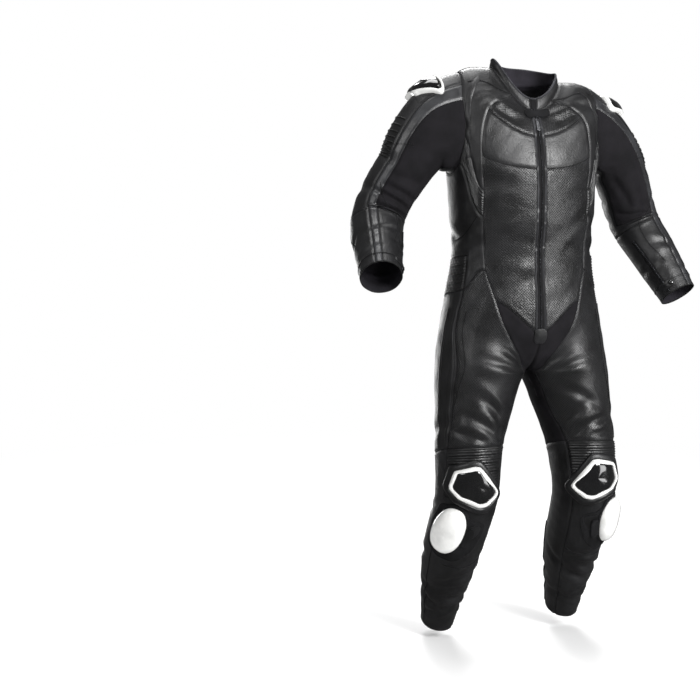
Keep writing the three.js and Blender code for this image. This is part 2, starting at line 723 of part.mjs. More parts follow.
// Places in millimetres round a spot on the unfolded body, seen from outside; x runs to the right, y runs up
function bodySpot(side, share, drop, turn = 0) {
  const surface = (u, v) => mirrored(plainBodyPoint, side, u, v);
  const scaleU = surface(share + 0.01, drop).distanceTo(surface(share - 0.01, drop)) / 0.02;
  const scaleV = surface(share, drop + 5).distanceTo(surface(share, drop - 5)) / 10;
  const angle = THREE.MathUtils.degToRad(turn);
  return (x, y, lift) => {
    const turnedX = x * Math.cos(angle) - y * Math.sin(angle);
    const turnedY = x * Math.sin(angle) + y * Math.cos(angle);
    const u = share + side * turnedX / scaleU;
    const v = drop - turnedY / scaleV;
    const normal = pointNormal(surface, u, v, 0.008, 3).multiplyScalar(side);
    return surface(u, v).addScaledVector(normal, lift);
  };
}

function sleeveSpot(side, around, along, girth) {
  return (x, y, lift) => {
    const u = around + side * x / girth;
    const v = along - y;
    const normal = pointNormal((a, b) => sleeveSidePoint(side, a, b), u, v, 0.008, 3).multiplyScalar(side);
    return sleeveSidePoint(side, u, v).addScaledVector(normal, lift);
  };
}

function roundedOutline(halfWide, halfHigh, power) {
  return (angle) => [
    halfWide * Math.sign(Math.cos(angle)) * Math.abs(Math.cos(angle)) ** power,
    halfHigh * Math.sign(Math.sin(angle)) * Math.abs(Math.sin(angle)) ** power,
  ];
}

const pieceLooks = {
  front_zip: ['zip', stretchWall],
  collar: ['leather', leatherWall],
  groin_stretch: ['stretch', stretchWall],
  calf_stretch: ['stretch', stretchWall],
  arm_stretch: ['stretch', stretchWall],
  sleeve_stripe: ['glint', leatherWall],
  knee_accordion: ['ribbed', leatherWall],
  rib_accordion: ['ribbed', leatherWall],
  blade_accordion: ['ribbed', leatherWall],
  lumbar_band: ['ribbed', leatherWall],
  chest_upper: ['perforated', leatherWall],
  belly: ['perforated', leatherWall],
  thigh_front: ['perforated', leatherWall],
};

const suit = new THREE.Group();
function addMesh(name, geometry, look) {
  const [colour, roughness] = colours[look];
  const material = new THREE.MeshStandardMaterial({ color: colour, roughness, metalness: look === 'zip' ? 0.6 : 0 });
  const mesh = new THREE.Mesh(geometry, material);
  mesh.name = name;
  suit.add(mesh);
}

const pieces = new Map();
for (const face of faces) {
  if (!pieces.has(face.piece)) pieces.set(face.piece, []);
  pieces.get(face.piece).push(face);
}
for (const [name, pieceFaces] of pieces) {
  const kind = name.replace(/_(left|right)$/, '');
  const [look, thickness] = pieceLooks[kind] ?? ['leather', leatherWall];
  addMesh(name, wallGeometry(pieceFaces, thickness, ribSteps[kind]), look);
}

// Knee cup: a shield, widest at its middle; hump: a teardrop whose tip points down the spine
const kneeCup = { drop: 956, halfWide: 62, halfHigh: 50, base: 3.9, rise: 14 };
const kneeShare = { left: 0.24, right: 0.275 };
const kneeSlider = { drop: 1060, halfWide: 46, halfHigh: 60, base: 0.8, rise: 24, turn: 8 };
const sliderShare = { left: 0.365, right: 0.365 };
const shoulderCup = { around: 0.5, along: 80, halfWide: 58, halfHigh: 40, base: 1.6, rise: 17 };
const hump = { drop: 88, halfWide: 97, up: 62, down: 128, base: 0.4, rise: 44 };
const crotchTab = { drop: 592, halfWide: 17, halfHigh: 20, base: 0.4, rise: 2.2 };
const collarTab = { drop: 41, halfWide: 33, halfHigh: 15, base: 0.4, rise: 2.6 };

function shieldOutline(angle) {
  const corner = 1 - 0.16 * Math.abs(Math.sin(2 * angle)) ** 1.5;
  return [kneeCup.halfWide * Math.cos(angle) * corner, kneeCup.halfHigh * Math.sin(angle) * corner];
}

function humpOutline(angle) {
  const high = Math.sin(angle);
  const tall = high > 0 ? hump.up * high ** 0.8 : hump.down * high;
  const narrow = high > 0 ? 1 - 0.12 * high ** 2 : 1 + 0.38 * high;
  return [hump.halfWide * Math.cos(angle) * narrow, tall];
}

for (const [name, side] of [['left', 1], ['right', -1]]) {
  addMesh(`knee_cup_${name}`, overlay(
    bodySpot(side, kneeShare[name], kneeCup.drop), shieldOutline,
    liftTable(kneeCup.base, kneeCup.rise, [[0.5, kneeCup.rise - 1], [0.86, kneeCup.rise - 3], [1, 7]]),
  ), 'cup');
  addMesh(`knee_slider_${name}`, overlay(
    bodySpot(side, sliderShare[name], kneeSlider.drop, side * kneeSlider.turn),
    roundedOutline(kneeSlider.halfWide, kneeSlider.halfHigh, 0.9),
    liftTable(kneeSlider.base, kneeSlider.rise, [[0.5, kneeSlider.rise - 2], [0.85, 16], [1, 7]]),
  ), 'slider');
  addMesh(`shoulder_cup_${name}`, overlay(
    sleeveSpot(side, shoulderCup.around, shoulderCup.along, 470),
    roundedOutline(shoulderCup.halfWide, shoulderCup.halfHigh, 0.75),
    liftTable(shoulderCup.base, shoulderCup.rise, [[0.5, shoulderCup.rise - 1], [0.85, 11], [1, 4]]),
  ), 'cup');
}
addMesh('hump', overlay(
  bodySpot(1, 1, hump.drop), humpOutline,
  liftTable(hump.base, hump.rise, [[0.35, 40], [0.65, 31], [0.88, 17], [1, hump.base + leatherWall]]), leatherWall,
), 'leather');
addMesh('crotch_tab', overlay(
  bodySpot(1, 0, crotchTab.drop), roundedOutline(crotchTab.halfWide, crotchTab.halfHigh, 0.7),
  liftTable(crotchTab.base, crotchTab.rise + 0.4, [[0.6, crotchTab.rise + 0.3], [1, crotchTab.rise]]),
), 'leather');
addMesh('collar_tab', overlay(
  bodySpot(1, 0, collarTab.drop), roundedOutline(collarTab.halfWide, collarTab.halfHigh, 0.7),
  liftTable(collarTab.base, collarTab.rise + 0.4, [[0.6, collarTab.rise + 0.3], [1, collarTab.rise]]),
), 'lining');

// Inside of the collar: a fabric wall just clear of the leather, from the collar's edge to below the neck line
function liningKey(side, column, level) {
  const key = level < 2 ? collarKey(side, column, collarRings.length - level) : bodyKey(side, column, level - 2);
  const { point, normal } = points.get(key);
  const inset = point.clone().addScaledVector(normal, -leatherWall - liningGap);
  if (level === 0) inset.z -= 2;
  const name = `lining,${key}`;
  if (!points.has(name)) points.set(name, { point: inset, normal });
  return name;
}

const liningFaces = [];
const liningLevels = 3;
for (const side of [1, -1]) {
  for (let level = 0; level < liningLevels; level += 1) {
    for (let column = 1; column < columnCount; column += 1) {
      const keys = [
        liningKey(side, column, level), liningKey(side, column, level + 1),
        liningKey(side, column + 1, level + 1), liningKey(side, column + 1, level),
      ];
      liningFaces.push({ keys: side > 0 ? keys : keys.reverse(), side });
    }
  }
}
addMesh('neck_lining', wallGeometry(liningFaces, liningWall), 'lining');

// Zip pulls: flat tongues that hang from a hinge line on their sliders
const pullSize = { width: 8, length: 26, thick: 1.6, clear: 0.8 };

function pullGeometry(surface) {
  const top = surface(0, 0, pullSize.clear);
  const low = surface(0, -pullSize.length, pullSize.clear);
  const upAxis = top.clone().sub(low).normalize();
  const acrossAxis = surface(4, 0, pullSize.clear).sub(surface(-4, 0, pullSize.clear));
  acrossAxis.addScaledVector(upAxis, -acrossAxis.dot(upAxis)).normalize();
  const outAxis = new THREE.Vector3().crossVectors(acrossAxis, upAxis);
  const half = pullSize.width / 2;
  const shape = new THREE.Shape();
  shape.moveTo(-half * 0.7, 0);
  shape.lineTo(-half, -pullSize.length + half);
  shape.absarc(0, -pullSize.length + half, half, Math.PI, 2 * Math.PI, false);
  shape.lineTo(half * 0.7, 0);
  shape.closePath();
  const geometry = new THREE.ExtrudeGeometry(shape, { depth: pullSize.thick, bevelEnabled: false, curveSegments: 6 });
  geometry.applyMatrix4(new THREE.Matrix4().makeBasis(acrossAxis, upAxis, outAxis).setPosition(top));
  return { geometry, hinge: top.clone().addScaledVector(outAxis, pullSize.thick / 2), axis: acrossAxis };
}

export const hinges = {};
function addPull(name, surface) {
  const pull = pullGeometry(surface);
  addMesh(name, pull.geometry, 'zip');
  hinges[name] = { hinge: pull.hinge.toArray(), axis: pull.axis.toArray() };
}
addPull('front_zip_pull', bodySpot(1, 0, 62));
addPull('ankle_pull_left', bodySpot(1, 0.93, 1328));
addPull('ankle_pull_right', bodySpot(-1, 0.93, 1328));

export default suit;
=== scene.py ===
import json
import math

import bmesh
import bpy
import numpy as np
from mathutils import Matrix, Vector
from mathutils.bvhtree import BVHTree
from mathutils.kdtree import KDTree


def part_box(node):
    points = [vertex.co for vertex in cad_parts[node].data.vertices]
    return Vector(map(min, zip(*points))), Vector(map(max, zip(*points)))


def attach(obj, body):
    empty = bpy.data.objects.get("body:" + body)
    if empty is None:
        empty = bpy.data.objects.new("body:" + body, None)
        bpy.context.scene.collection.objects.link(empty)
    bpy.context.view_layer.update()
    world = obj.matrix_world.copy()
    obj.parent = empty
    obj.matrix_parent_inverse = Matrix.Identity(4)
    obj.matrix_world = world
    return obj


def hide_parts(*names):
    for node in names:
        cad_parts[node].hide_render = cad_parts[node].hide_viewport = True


# Leather race suit. Tables are in millimetres in the suit's own frame; meshes are made in metres.
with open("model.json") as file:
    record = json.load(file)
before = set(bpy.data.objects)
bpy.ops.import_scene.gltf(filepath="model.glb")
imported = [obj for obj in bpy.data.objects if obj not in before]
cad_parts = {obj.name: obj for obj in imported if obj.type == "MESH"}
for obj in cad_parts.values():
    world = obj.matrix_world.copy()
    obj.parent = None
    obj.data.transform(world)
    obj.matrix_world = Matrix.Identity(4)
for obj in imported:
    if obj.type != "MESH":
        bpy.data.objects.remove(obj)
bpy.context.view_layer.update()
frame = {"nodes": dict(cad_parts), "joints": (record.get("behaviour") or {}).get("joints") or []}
mm = 0.001

# Camera: from the wearer's right, level with the belly, turned so that the suit stands in the right half
photoView = {"distance": 3.4, "azimuth": -22.0, "height": -0.3, "focalPixels": 1333.0,
             "imagePixels": 700.0, "axisPixel": (521.0, 215.0), "sensor": 36.0}


def makeCamera():
    view = photoView
    turn = math.radians(view["azimuth"])
    forward = Vector((-math.sin(turn), math.cos(turn), 0))
    right = Vector((forward.y, -forward.x, 0))
    middle = view["imagePixels"] / 2
    aim = forward.copy()
    aim += right * ((middle - view["axisPixel"][0]) / view["focalPixels"])
    aim.z -= (middle - view["axisPixel"][1]) / view["focalPixels"]
    data = bpy.data.cameras.new("camera")
    data.sensor_width = view["sensor"]
    data.lens = view["sensor"] * view["focalPixels"] / view["imagePixels"]
    camera = bpy.data.objects.new("camera", data)
    bpy.context.scene.collection.objects.link(camera)
    camera.location = -forward * view["distance"] + Vector((0, 0, view["height"]))
    camera.rotation_mode = "QUATERNION"
    camera.rotation_quaternion = aim.to_track_quat("-Z", "Y")
    bpy.context.scene.camera = camera


makeCamera()

# Studio: a pale floor that fades into a white backdrop. The key and a shadowless low key stand at the front
# right; side, top, rim and low lights draw the edges.
studio = {
    "floorDrop": 1.405, "floorHalf": 40.0, "floorColour": "#fafafa", "nearRadius": 0.9, "farRadius": 3.4,
    "backColour": "#ffffff", "backStrength": 1.0, "roomStrength": 0.14,
    "lights": [
        {"name": "key", "place": (1.3, -3.5, 1.0), "size": 1.5, "energy": 205},
        {"name": "lowKey", "place": (2.3, -2.8, -0.7), "size": 1.4, "energy": 42, "shadow": False},
        {"name": "side", "place": (-3.2, -1.9, 1.4), "size": 1.2, "energy": 34},
        {"name": "top", "place": (-0.2, 0.3, 2.7), "size": 1.8, "energy": 60},
        {"name": "rim", "place": (0.7, 2.7, 2.4), "size": 1.6, "energy": 115},
        {"name": "low", "place": (-0.6, 3.6, -0.8), "size": 1.3, "energy": 24},
    ],
}


def linear(hexColour):
    values = [int(hexColour[i:i + 2], 16) / 255 for i in (1, 3, 5)]
    return [v / 12.92 if v <= 0.04045 else ((v + 0.055) / 1.055) ** 2.4 for v in values] + [1.0]


def addNode(tree, kind, settings, inputs):
    node = tree.nodes.new(kind)
    for name, value in settings.items():
        setattr(node, name, value)
    for name, value in inputs.items():
        if isinstance(value, bpy.types.NodeSocket):
            tree.links.new(value, node.inputs[name])
        else:
            node.inputs[name].default_value = value
    return node


def emptyMaterial(name):
    material = bpy.data.materials.new(name)
    material.use_nodes = True
    material.node_tree.nodes.clear()
    return material, material.node_tree


def finishMaterial(tree, shaderInputs):
    shader = addNode(tree, "ShaderNodeBsdfPrincipled", {}, shaderInputs)
    addNode(tree, "ShaderNodeOutputMaterial", {}, {"Surface": shader.outputs["BSDF"]})


def spread(tree, value, low, high, outLow, outHigh):
    node = addNode(tree, "ShaderNodeMapRange", {"interpolation_type": "SMOOTHSTEP"},
                   {"Value": value, "From Min": low, "From Max": high, "To Min": outLow, "To Max": outHigh})
    return node.outputs["Result"]


def math2(tree, operation, first, second):
    return addNode(tree, "ShaderNodeMath", {"operation": operation}, {0: first, 1: second}).outputs[0]


def blendColours(tree, share, first, second):
    node = addNode(tree, "ShaderNodeMix", {"data_type": "RGBA"}, {0: share, 6: first, 7: second})
    return node.outputs[2]


def noise(tree, coords, scale, detail):
    node = addNode(tree, "ShaderNodeTexNoise", {}, {"Vector": coords, "Scale": scale, "Detail": detail})
    return node.outputs["Fac"]


# From a look's dark colour to its light one
def twoTone(tree, value, look, low, high=0.7):
    share = spread(tree, value, low, high, 0, 1)
    return blendColours(tree, share, linear(look["dark"]), linear(look["light"]))


def bump(tree, height, distance, strength, below=None):
    inputs = {"Height": height, "Distance": distance, "Strength": strength}
    if below is not None:
        inputs["Normal"] = below
    return addNode(tree, "ShaderNodeBump", {}, inputs).outputs["Normal"]


# Cowhide, drum dyed and lightly finished: near black, a soft broad shine, fine pebble grain and pull lines.
# The real pebble is about 1 mm; it is drawn coarser so that it shows from a step away.
def leatherMaterial(name, look):
    material, tree = emptyMaterial(name)
    coords = addNode(tree, "ShaderNodeTexCoord", {}, {}).outputs["Object"]
    cloud = noise(tree, coords, 14, 4)
    pebble = addNode(tree, "ShaderNodeTexVoronoi", {"feature": "SMOOTH_F1"},
                     {"Vector": coords, "Scale": 1 / (look["pebble"] * mm), "Smoothness": 0.4})
    pebble = pebble.outputs["Distance"]
    pull = addNode(tree, "ShaderNodeTexNoise", {},
                   {"Vector": coords, "Scale": 1 / (look["pull"] * mm), "Detail": 6, "Roughness": 0.65,
                    "Distortion": 1.2}).outputs["Fac"]
    seam = addNode(tree, "ShaderNodeAttribute", {"attribute_name": "seamGap"}, {}).outputs["Fac"]
    # Painted shade: within about a millimetre of a seam the leather is darkened towards near black, for the
    # shade in the seam's groove
    paintedSeamShade = spread(tree, seam, 0.25, 1.3, 1.0, 0.0)
    tone = twoTone(tree, cloud, look, 0.35)
    tone = blendColours(tree, spread(tree, pebble, 0.3, 0.75, 0, 0.35), tone, linear(look["dark"]))
    normal = bump(tree, pull, look["pullDepth"] * mm, 0.6)
    normal = bump(tree, math2(tree, "MULTIPLY", pebble, -1.0), look["grainDepth"] * mm, 0.5, normal)
    rough = spread(tree, cloud, 0.3, 0.75, look["roughness"] - 0.06, look["roughness"] + 0.08)
    if "holePitch" in look:
        dots = perforation(tree, look["holePitch"], look["holeSize"])
        tone = blendColours(tree, dots, tone, linear("#020203"))
        rough = math2(tree, "MAXIMUM", rough, math2(tree, "MULTIPLY", dots, 0.95))
        normal = bump(tree, math2(tree, "MULTIPLY", dots, -1.0), 1.2 * mm, 1.0, normal)
    # Painted shade: the colour is darkened to near black along the seams
    tone = blendColours(tree, paintedSeamShade, tone, linear("#030303"))
    rough = math2(tree, "MAXIMUM", rough, paintedSeamShade)
    finishMaterial(tree, {"Base Color": tone, "Roughness": rough, "Normal": normal, "IOR": 1.48,
                          "Specular IOR Level": look["shine"], "Coat Weight": look["coat"],
                          "Coat Roughness": 0.35})
    return material


# Punched holes on a staggered grid of the flat panel, in millimetres
def perforation(tree, pitch, size):
    flat = addNode(tree, "ShaderNodeUVMap", {"uv_map": "cloth"}, {}).outputs["UV"]
    scaled = addNode(tree, "ShaderNodeVectorMath", {"operation": "SCALE"},
                     {0: flat, "Scale": 1 / (pitch * mm)}).outputs[0]
    gaps = []
    for shift in (0.0, 0.5):
        moved = addNode(tree, "ShaderNodeVectorMath", {"operation": "ADD"}, {0: scaled, 1: (shift, shift, 0)})
        part = addNode(tree, "ShaderNodeVectorMath", {"operation": "FRACTION"}, {0: moved.outputs[0]})
        centred = addNode(tree, "ShaderNodeVectorMath", {"operation": "SUBTRACT"},
                          {0: part.outputs[0], 1: (0.5, 0.5, 0)})
        flatPart = addNode(tree, "ShaderNodeVectorMath", {"operation": "MULTIPLY"},
                           {0: centred.outputs[0], 1: (1, 1, 0)})
        gaps.append(addNode(tree, "ShaderNodeVectorMath", {"operation": "LENGTH"},
                            {0: flatPart.outputs[0]}).outputs["Value"])
    nearest = math2(tree, "MINIMUM", gaps[0], gaps[1])
    edge = size / 2 / pitch
    return spread(tree, nearest, edge * 0.75, edge * 1.2, 1.0, 0.0)


# Woven or knitted cloth: matte, a faint sheen at grazing light, thread ribs in the cloth's own grain
def clothMaterial(name, look):
    material, tree = emptyMaterial(name)
    coords = addNode(tree, "ShaderNodeTexCoord", {}, {}).outputs["Object"]
    flat = addNode(tree, "ShaderNodeUVMap", {"uv_map": "cloth"}, {}).outputs["UV"]
    rib = addNode(tree, "ShaderNodeTexWave", {"bands_direction": look["grain"], "wave_profile": "SIN"},
                  {"Vector": flat, "Scale": 1 / (look["thread"] * mm) / 6.2832 * math.pi, "Distortion": 0.4})
    cloud = noise(tree, coords, 22, 5)
    fuzz = noise(tree, coords, 900, 2)
    tone = twoTone(tree, cloud, look, 0.3)
    tone = blendColours(tree, spread(tree, fuzz, 0.4, 0.7, 0, 0.3), tone, linear(look["light"]))
    normal = bump(tree, rib.outputs["Fac"], 0.25 * mm, 0.5)
    normal = bump(tree, fuzz, look["fuzz"] * mm, 0.5, normal)
    finishMaterial(tree, {"Base Color": tone, "Roughness": look["roughness"], "Normal": normal,
                          "Sheen Weight": look["sheen"], "Sheen Roughness": 0.4,
                          "Sheen Tint": linear(look["light"]), "Specular IOR Level": 0.25})
    return material


# Injection moulded thermoplastic: even colour, glossy, faint flow marks and fine scuffs
def plasticMaterial(name, look):
    material, tree = emptyMaterial(name)
    coords = addNode(tree, "ShaderNodeTexCoord", {}, {}).outputs["Object"]
    cloud = noise(tree, coords, 30, 3)
    scuff = noise(tree, coords, 260, 5)
    tone = twoTone(tree, cloud, look, 0.3)
    rough = spread(tree, scuff, 0.45, 0.75, look["roughness"], look["roughness"] + 0.12)
    normal = bump(tree, scuff, 0.02 * mm, 0.3)
    finishMaterial(tree, {"Base Color": tone, "Roughness": rough, "Normal": normal, "IOR": 1.5,
                          "Coat Weight": look["coat"], "Coat Roughness": 0.08})
    return material


# Zinc alloy, plated: metal, worn a little brighter in patches
def metalMaterial(name, look):
    material, tree = emptyMaterial(name)
    coords = addNode(tree, "ShaderNodeTexCoord", {}, {}).outputs["Object"]
    wear = noise(tree, coords, 380, 5)
    tone = twoTone(tree, wear, look, 0.4, 0.65)
    rough = spread(tree, wear, 0.35, 0.7, look["roughness"] + 0.1, look["roughness"])
    finishMaterial(tree, {"Base Color": tone, "Roughness": rough, "Metallic": 1.0,
                          "Normal": bump(tree, wear, 0.05 * mm, 0.3)})
    return material


# Studio floor: matt white paint round the suit, which turns into the lit backdrop further out
def floorMaterial():
    material, tree = emptyMaterial("floor_paint")
    coords = addNode(tree, "ShaderNodeTexCoord", {}, {}).outputs["Object"]
    flat = addNode(tree, "ShaderNodeVectorMath", {"operation": "MULTIPLY"}, {0: coords, 1: (1, 1, 0)})
    away = addNode(tree, "ShaderNodeVectorMath", {"operation": "LENGTH"}, {0: flat.outputs[0]})
    share = spread(tree, away.outputs["Value"], studio["nearRadius"], studio["farRadius"], 0.0, 1.0)
    paint = addNode(tree, "ShaderNodeBsdfDiffuse", {}, {"Color": linear(studio["floorColour"])})
    glow = addNode(tree, "ShaderNodeEmission", {}, {"Color": linear(studio["backColour"]),
                                                    "Strength": studio["backStrength"]})
    mixed = addNode(tree, "ShaderNodeMixShader", {}, {0: share, 1: paint.outputs[0], 2: glow.outputs[0]})
    addNode(tree, "ShaderNodeOutputMaterial", {}, {"Surface": mixed.outputs[0]})
    return material


leatherLook = {"dark": "#0b0b0c", "light": "#161618", "pebble": 2.6, "pull": 26, "pullDepth": 1.6,
               "grainDepth": 0.5, "roughness": 0.44, "shine": 0.55, "coat": 0.1}
materials = {
    "leather": leatherMaterial("leather", leatherLook),
    "perforated": leatherMaterial("perforated_leather", {**leatherLook, "dark": "#0c0c0d", "light": "#19191b",
                                                         "roughness": 0.36, "holePitch": 6.4,
                                                         "holeSize": 2.7}),
    "ribbed": leatherMaterial("ribbed_leather", {**leatherLook, "dark": "#0a0a0b", "light": "#151516",
                                                 "roughness": 0.42, "pullDepth": 0.4}),
    # Painted highlight: this leather is drawn lighter than the rest, for the glint along the sleeve stripe
    # and on the zip's bound edges; its lower roughness and coat are its real glossier finish
    "stripe": leatherMaterial("stripe_leather", {**leatherLook, "dark": "#1c1c1e", "light": "#2c2d30",
                                                 "roughness": 0.38, "coat": 0.2}),
    "humpLeather": leatherMaterial("hump_leather", {**leatherLook, "dark": "#121213", "light": "#202022"}),
    "stretch": clothMaterial("stretch_fabric", {"dark": "#09080b", "light": "#121014", "thread": 2.4,
                                                "grain": "X", "roughness": 0.9, "sheen": 0.05, "fuzz": 0.15}),
    "lining": clothMaterial("mesh_lining", {"dark": "#17161a", "light": "#29272d", "thread": 2.8,
                                            "grain": "Y", "roughness": 0.9, "sheen": 0.15, "fuzz": 0.2}),
    "collarCloth": clothMaterial("collar_neoprene",
                                 {"dark": "#1e1e21", "light": "#39393d", "thread": 2.0,
                                  "grain": "Y", "roughness": 0.8, "sheen": 0.3, "fuzz": 0.1}),
    "hookLoop": clothMaterial("loop_patch", {"dark": "#060607", "light": "#151517", "thread": 1.8,
                                             "grain": "X", "roughness": 0.97, "sheen": 0.2, "fuzz": 0.9}),
    "zipTape": clothMaterial("zip_tape", {"dark": "#080809", "light": "#141416", "thread": 1.4,
                                          "grain": "Y", "roughness": 0.85, "sheen": 0.15, "fuzz": 0.1}),
    "thread": clothMaterial("bonded_thread", {"dark": "#1b1b1d", "light": "#38383b", "thread": 0.8,
                                              "grain": "X", "roughness": 0.6, "sheen": 0.1, "fuzz": 0.1}),
    # Painted shade: a near-black cord laid at the bottom of seams and sewn lines; the same material is also
    # the hump's real black piping
    "seamShade": clothMaterial("seam_piping", {"dark": "#050505", "light": "#0d0d0e", "thread": 1.2,
                                               "grain": "X", "roughness": 0.75, "sheen": 0.05, "fuzz": 0.1}),
    "whitePlastic": plasticMaterial("white_plastic", {"dark": "#d2d2d0", "light": "#e6e6e4",
                                                      "roughness": 0.16, "coat": 0.6}),
    "blackPlastic": plasticMaterial("black_plastic", {"dark": "#050506", "light": "#0c0c0d",
                                                      "roughness": 0.12, "coat": 0.8}),
    "zipMetal": metalMaterial("zip_metal", {"dark": "#6b6c70", "light": "#c9cacd", "roughness": 0.28}),
    "zipTeeth": metalMaterial("zip_teeth", {"dark": "#28292b", "light": "#5b5c60", "roughness": 0.35}),
    "floor": floorMaterial(),
}
print("materials made:", len(materials))


# Form of the suit, from the same sections as the solids
def table(columns, rows):
    return {name: np.array([row[i] for row in rows], float) for i, name in enumerate(columns)}


hipDrop = 560
crotchDrop = 690
riseReach = 0.1
torsoSections = table(
    ["drop", "frontY", "frontZ", "sideX", "sideY", "sideZ", "backY", "backZ", "flat"],
    [
        [20, -68, -40, 88, 2, 32, 74, 30, 1.0],
        [60, -90, -70, 130, 6, 33, 98, 6, 0.95],
        [95, -104, -100, 172, 10, 22, 116, -44, 0.9],
        [130, -114, -132, 198, 12, -22, 130, -90, 0.85],
        [170, -122, -172, 202, 12, -104, 136, -142, 0.82],
        [215, -128, -215, 189, 10, -200, 134, -200, 0.82],
        [300, -128, -300, 184, 6, -300, 122, -300, 0.82],
        [385, -118, -385, 177, 4, -385, 110, -385, 0.82],
        [470, -124, -470, 188, 6, -470, 124, -470, 0.82],
        [560, -134, -560, 204, 6, -560, 146, -560, 0.85],
        [640, -132, -640, 217, 2, -640, 148, -640, 0.9],
        [690, -120, -690, 221, -4, -690, 140, -690, 1.0],
    ])
legSections = table(
    ["drop", "middleX", "middleY", "halfX", "halfY", "lean"],
    [
        [560, 104, 4, 104, 138, 0],
        [640, 109, 2, 109, 136, 0],
        [690, 112, -6, 112, 124, -0.04],
        [722, 121, -11, 105, 117, -0.08],
        [776, 131, -20, 97, 108, -0.12],
        [878, 150, -38, 83, 98, -0.14],
        [985, 158, -50, 78, 90, 0.04],
        [1055, 163, -22, 75, 84, 0.28],
        [1130, 168, 22, 72, 80, 0.4],
        [1215, 172, 64, 64, 72, 0.42],
        [1290, 175, 96, 52, 58, 0.42],
        [1362, 177, 122, 42, 45, 0.42],
    ])
armColumns = ["along", "x", "y", "z", "halfUp", "halfDown", "halfFront"]
armSections = {
    1: table(armColumns, [
        [0, 172, 10, -88, 82, 82, 74],
        [62, 226, 20, -106, 82, 82, 76],
        [150, 290, 48, -192, 68, 68, 67],
        [290, 342, 76, -304, 64, 64, 64],
        [405, 382, 26, -400, 58, 58, 58],
        [545, 424, -42, -512, 45, 45, 47],
    ]),
    -1: table(armColumns, [
        [0, 172, 10, -70, 96, 108, 74],
        [62, 234, 16, -82, 98, 98, 76],
        [150, 300, 28, -178, 70, 70, 70],
        [250, 348, 40, -260, 66, 66, 66],
        [300, 366, 34, -302, 66, 66, 66],
        [348, 377, 8, -338, 65, 65, 64],
        [410, 385, -32, -376, 60, 60, 60],
        [545, 402, -122, -452, 49, 49, 50],
    ]),
}
sideLift = {1: {"shoulder": 0, "leg": 12}, -1: {"shoulder": 32, "leg": 0}}
shoulderDrop = 80
shoulderFade = 55
sleeveBlend = 120
squareFrom = 160
underarmFollow = 0.3


def read(rows, knot, column, x):
    knots, values = rows[knot], rows[column]
    slopes = np.diff(values) / np.diff(knots)
    before, after = slopes[:-1], slopes[1:]
    together = before * after
    total = np.where(together > 0, before + after, 1.0)
    tangents = np.concatenate([[slopes[0]], np.where(together > 0, 2 * together / total, 0), [slopes[-1]]])
    x = np.clip(x, knots[0], knots[-1])
    i = np.clip(np.searchsorted(knots, x, side="right") - 1, 0, len(knots) - 2)
    span = knots[i + 1] - knots[i]
    t = (x - knots[i]) / span
    startWeight = 2 * t ** 3 - 3 * t ** 2 + 1
    endWeight = 3 * t ** 2 - 2 * t ** 3
    startPull = t ** 3 - 2 * t ** 2 + t
    endPull = t ** 3 - t ** 2
    return (startWeight * values[i] + endWeight * values[i + 1]
            + span * (startPull * tangents[i] + endPull * tangents[i + 1]))


def smooth(x, low, high):
    t = np.clip((x - low) / (high - low), 0, 1)
    return t * t * (3 - 2 * t)


def torsoPoint(u, drop):
    front = u < 0.5
    at = {name: read(torsoSections, "drop", name, drop) for name in torsoSections if name != "drop"}
    endY = np.where(front, at["frontY"], at["backY"])
    endZ = np.where(front, at["frontZ"], at["backZ"])
    sideY, sideZ = at["sideY"], at["sideZ"]
    across = np.sin(np.pi * u)
    along = np.abs(np.cos(np.pi * u)) ** at["flat"]
    x = at["sideX"] * across
    return np.stack([x, sideY + (endY - sideY) * along, endZ + (sideZ - endZ) * across ** 2], axis=-1)


def legPoint(u, drop):
    at = {name: read(legSections, "drop", name, drop) for name in legSections if name != "drop"}
    offsetY = -at["halfY"] * np.sin(2 * np.pi * u)
    x = at["middleX"] - at["halfX"] * np.cos(2 * np.pi * u)
    return np.stack([x, at["middleY"] + offsetY, -drop + at["lean"] * offsetY], axis=-1)


def plainBody(u, drop):
    u, drop = np.broadcast_arrays(np.asarray(u, float), np.asarray(drop, float))
    t = np.clip((drop - hipDrop) / (crotchDrop - hipDrop), 0, 1)
    roundShare = 1 - np.sqrt(1 - t * t)
    even = t * t * (3 - 2 * t)
    nearRise = np.exp(-((np.minimum(u, 1 - u) / riseReach) ** 2))
    weight = (even + (roundShare - even) * nearRise)[..., None]
    return torsoPoint(u, drop) * (1 - weight) + legPoint(u, drop) * weight


def poseLift(side, u, drop):
    side = np.asarray(side)
    shoulder = np.where(side > 0, sideLift[1]["shoulder"], sideLift[-1]["shoulder"])
    leg = np.where(side > 0, sideLift[1]["leg"], sideLift[-1]["leg"])
    fade = np.exp(-((np.maximum(0, drop - shoulderDrop) / shoulderFade) ** 2))
    return shoulder * fade * np.sin(np.pi * u) ** 2 + leg * np.maximum(0, (drop - crotchDrop) / crotchDrop)


def bodySurface(side, u, drop):
    u, drop = np.broadcast_arrays(np.asarray(u, float), np.asarray(drop, float))
    outside = (u < 0) | (u > 1)
    side = np.where(outside, -side, side)
    u = np.where(u < 0, -u, np.where(u > 1, 2 - u, u))
    point = plainBody(u, drop)
    point[..., 0] *= side
    point[..., 2] += poseLift(side, u, drop)
    return point


def unit(vectors):
    return vectors / np.maximum(np.linalg.norm(vectors, axis=-1, keepdims=True), 1e-12)


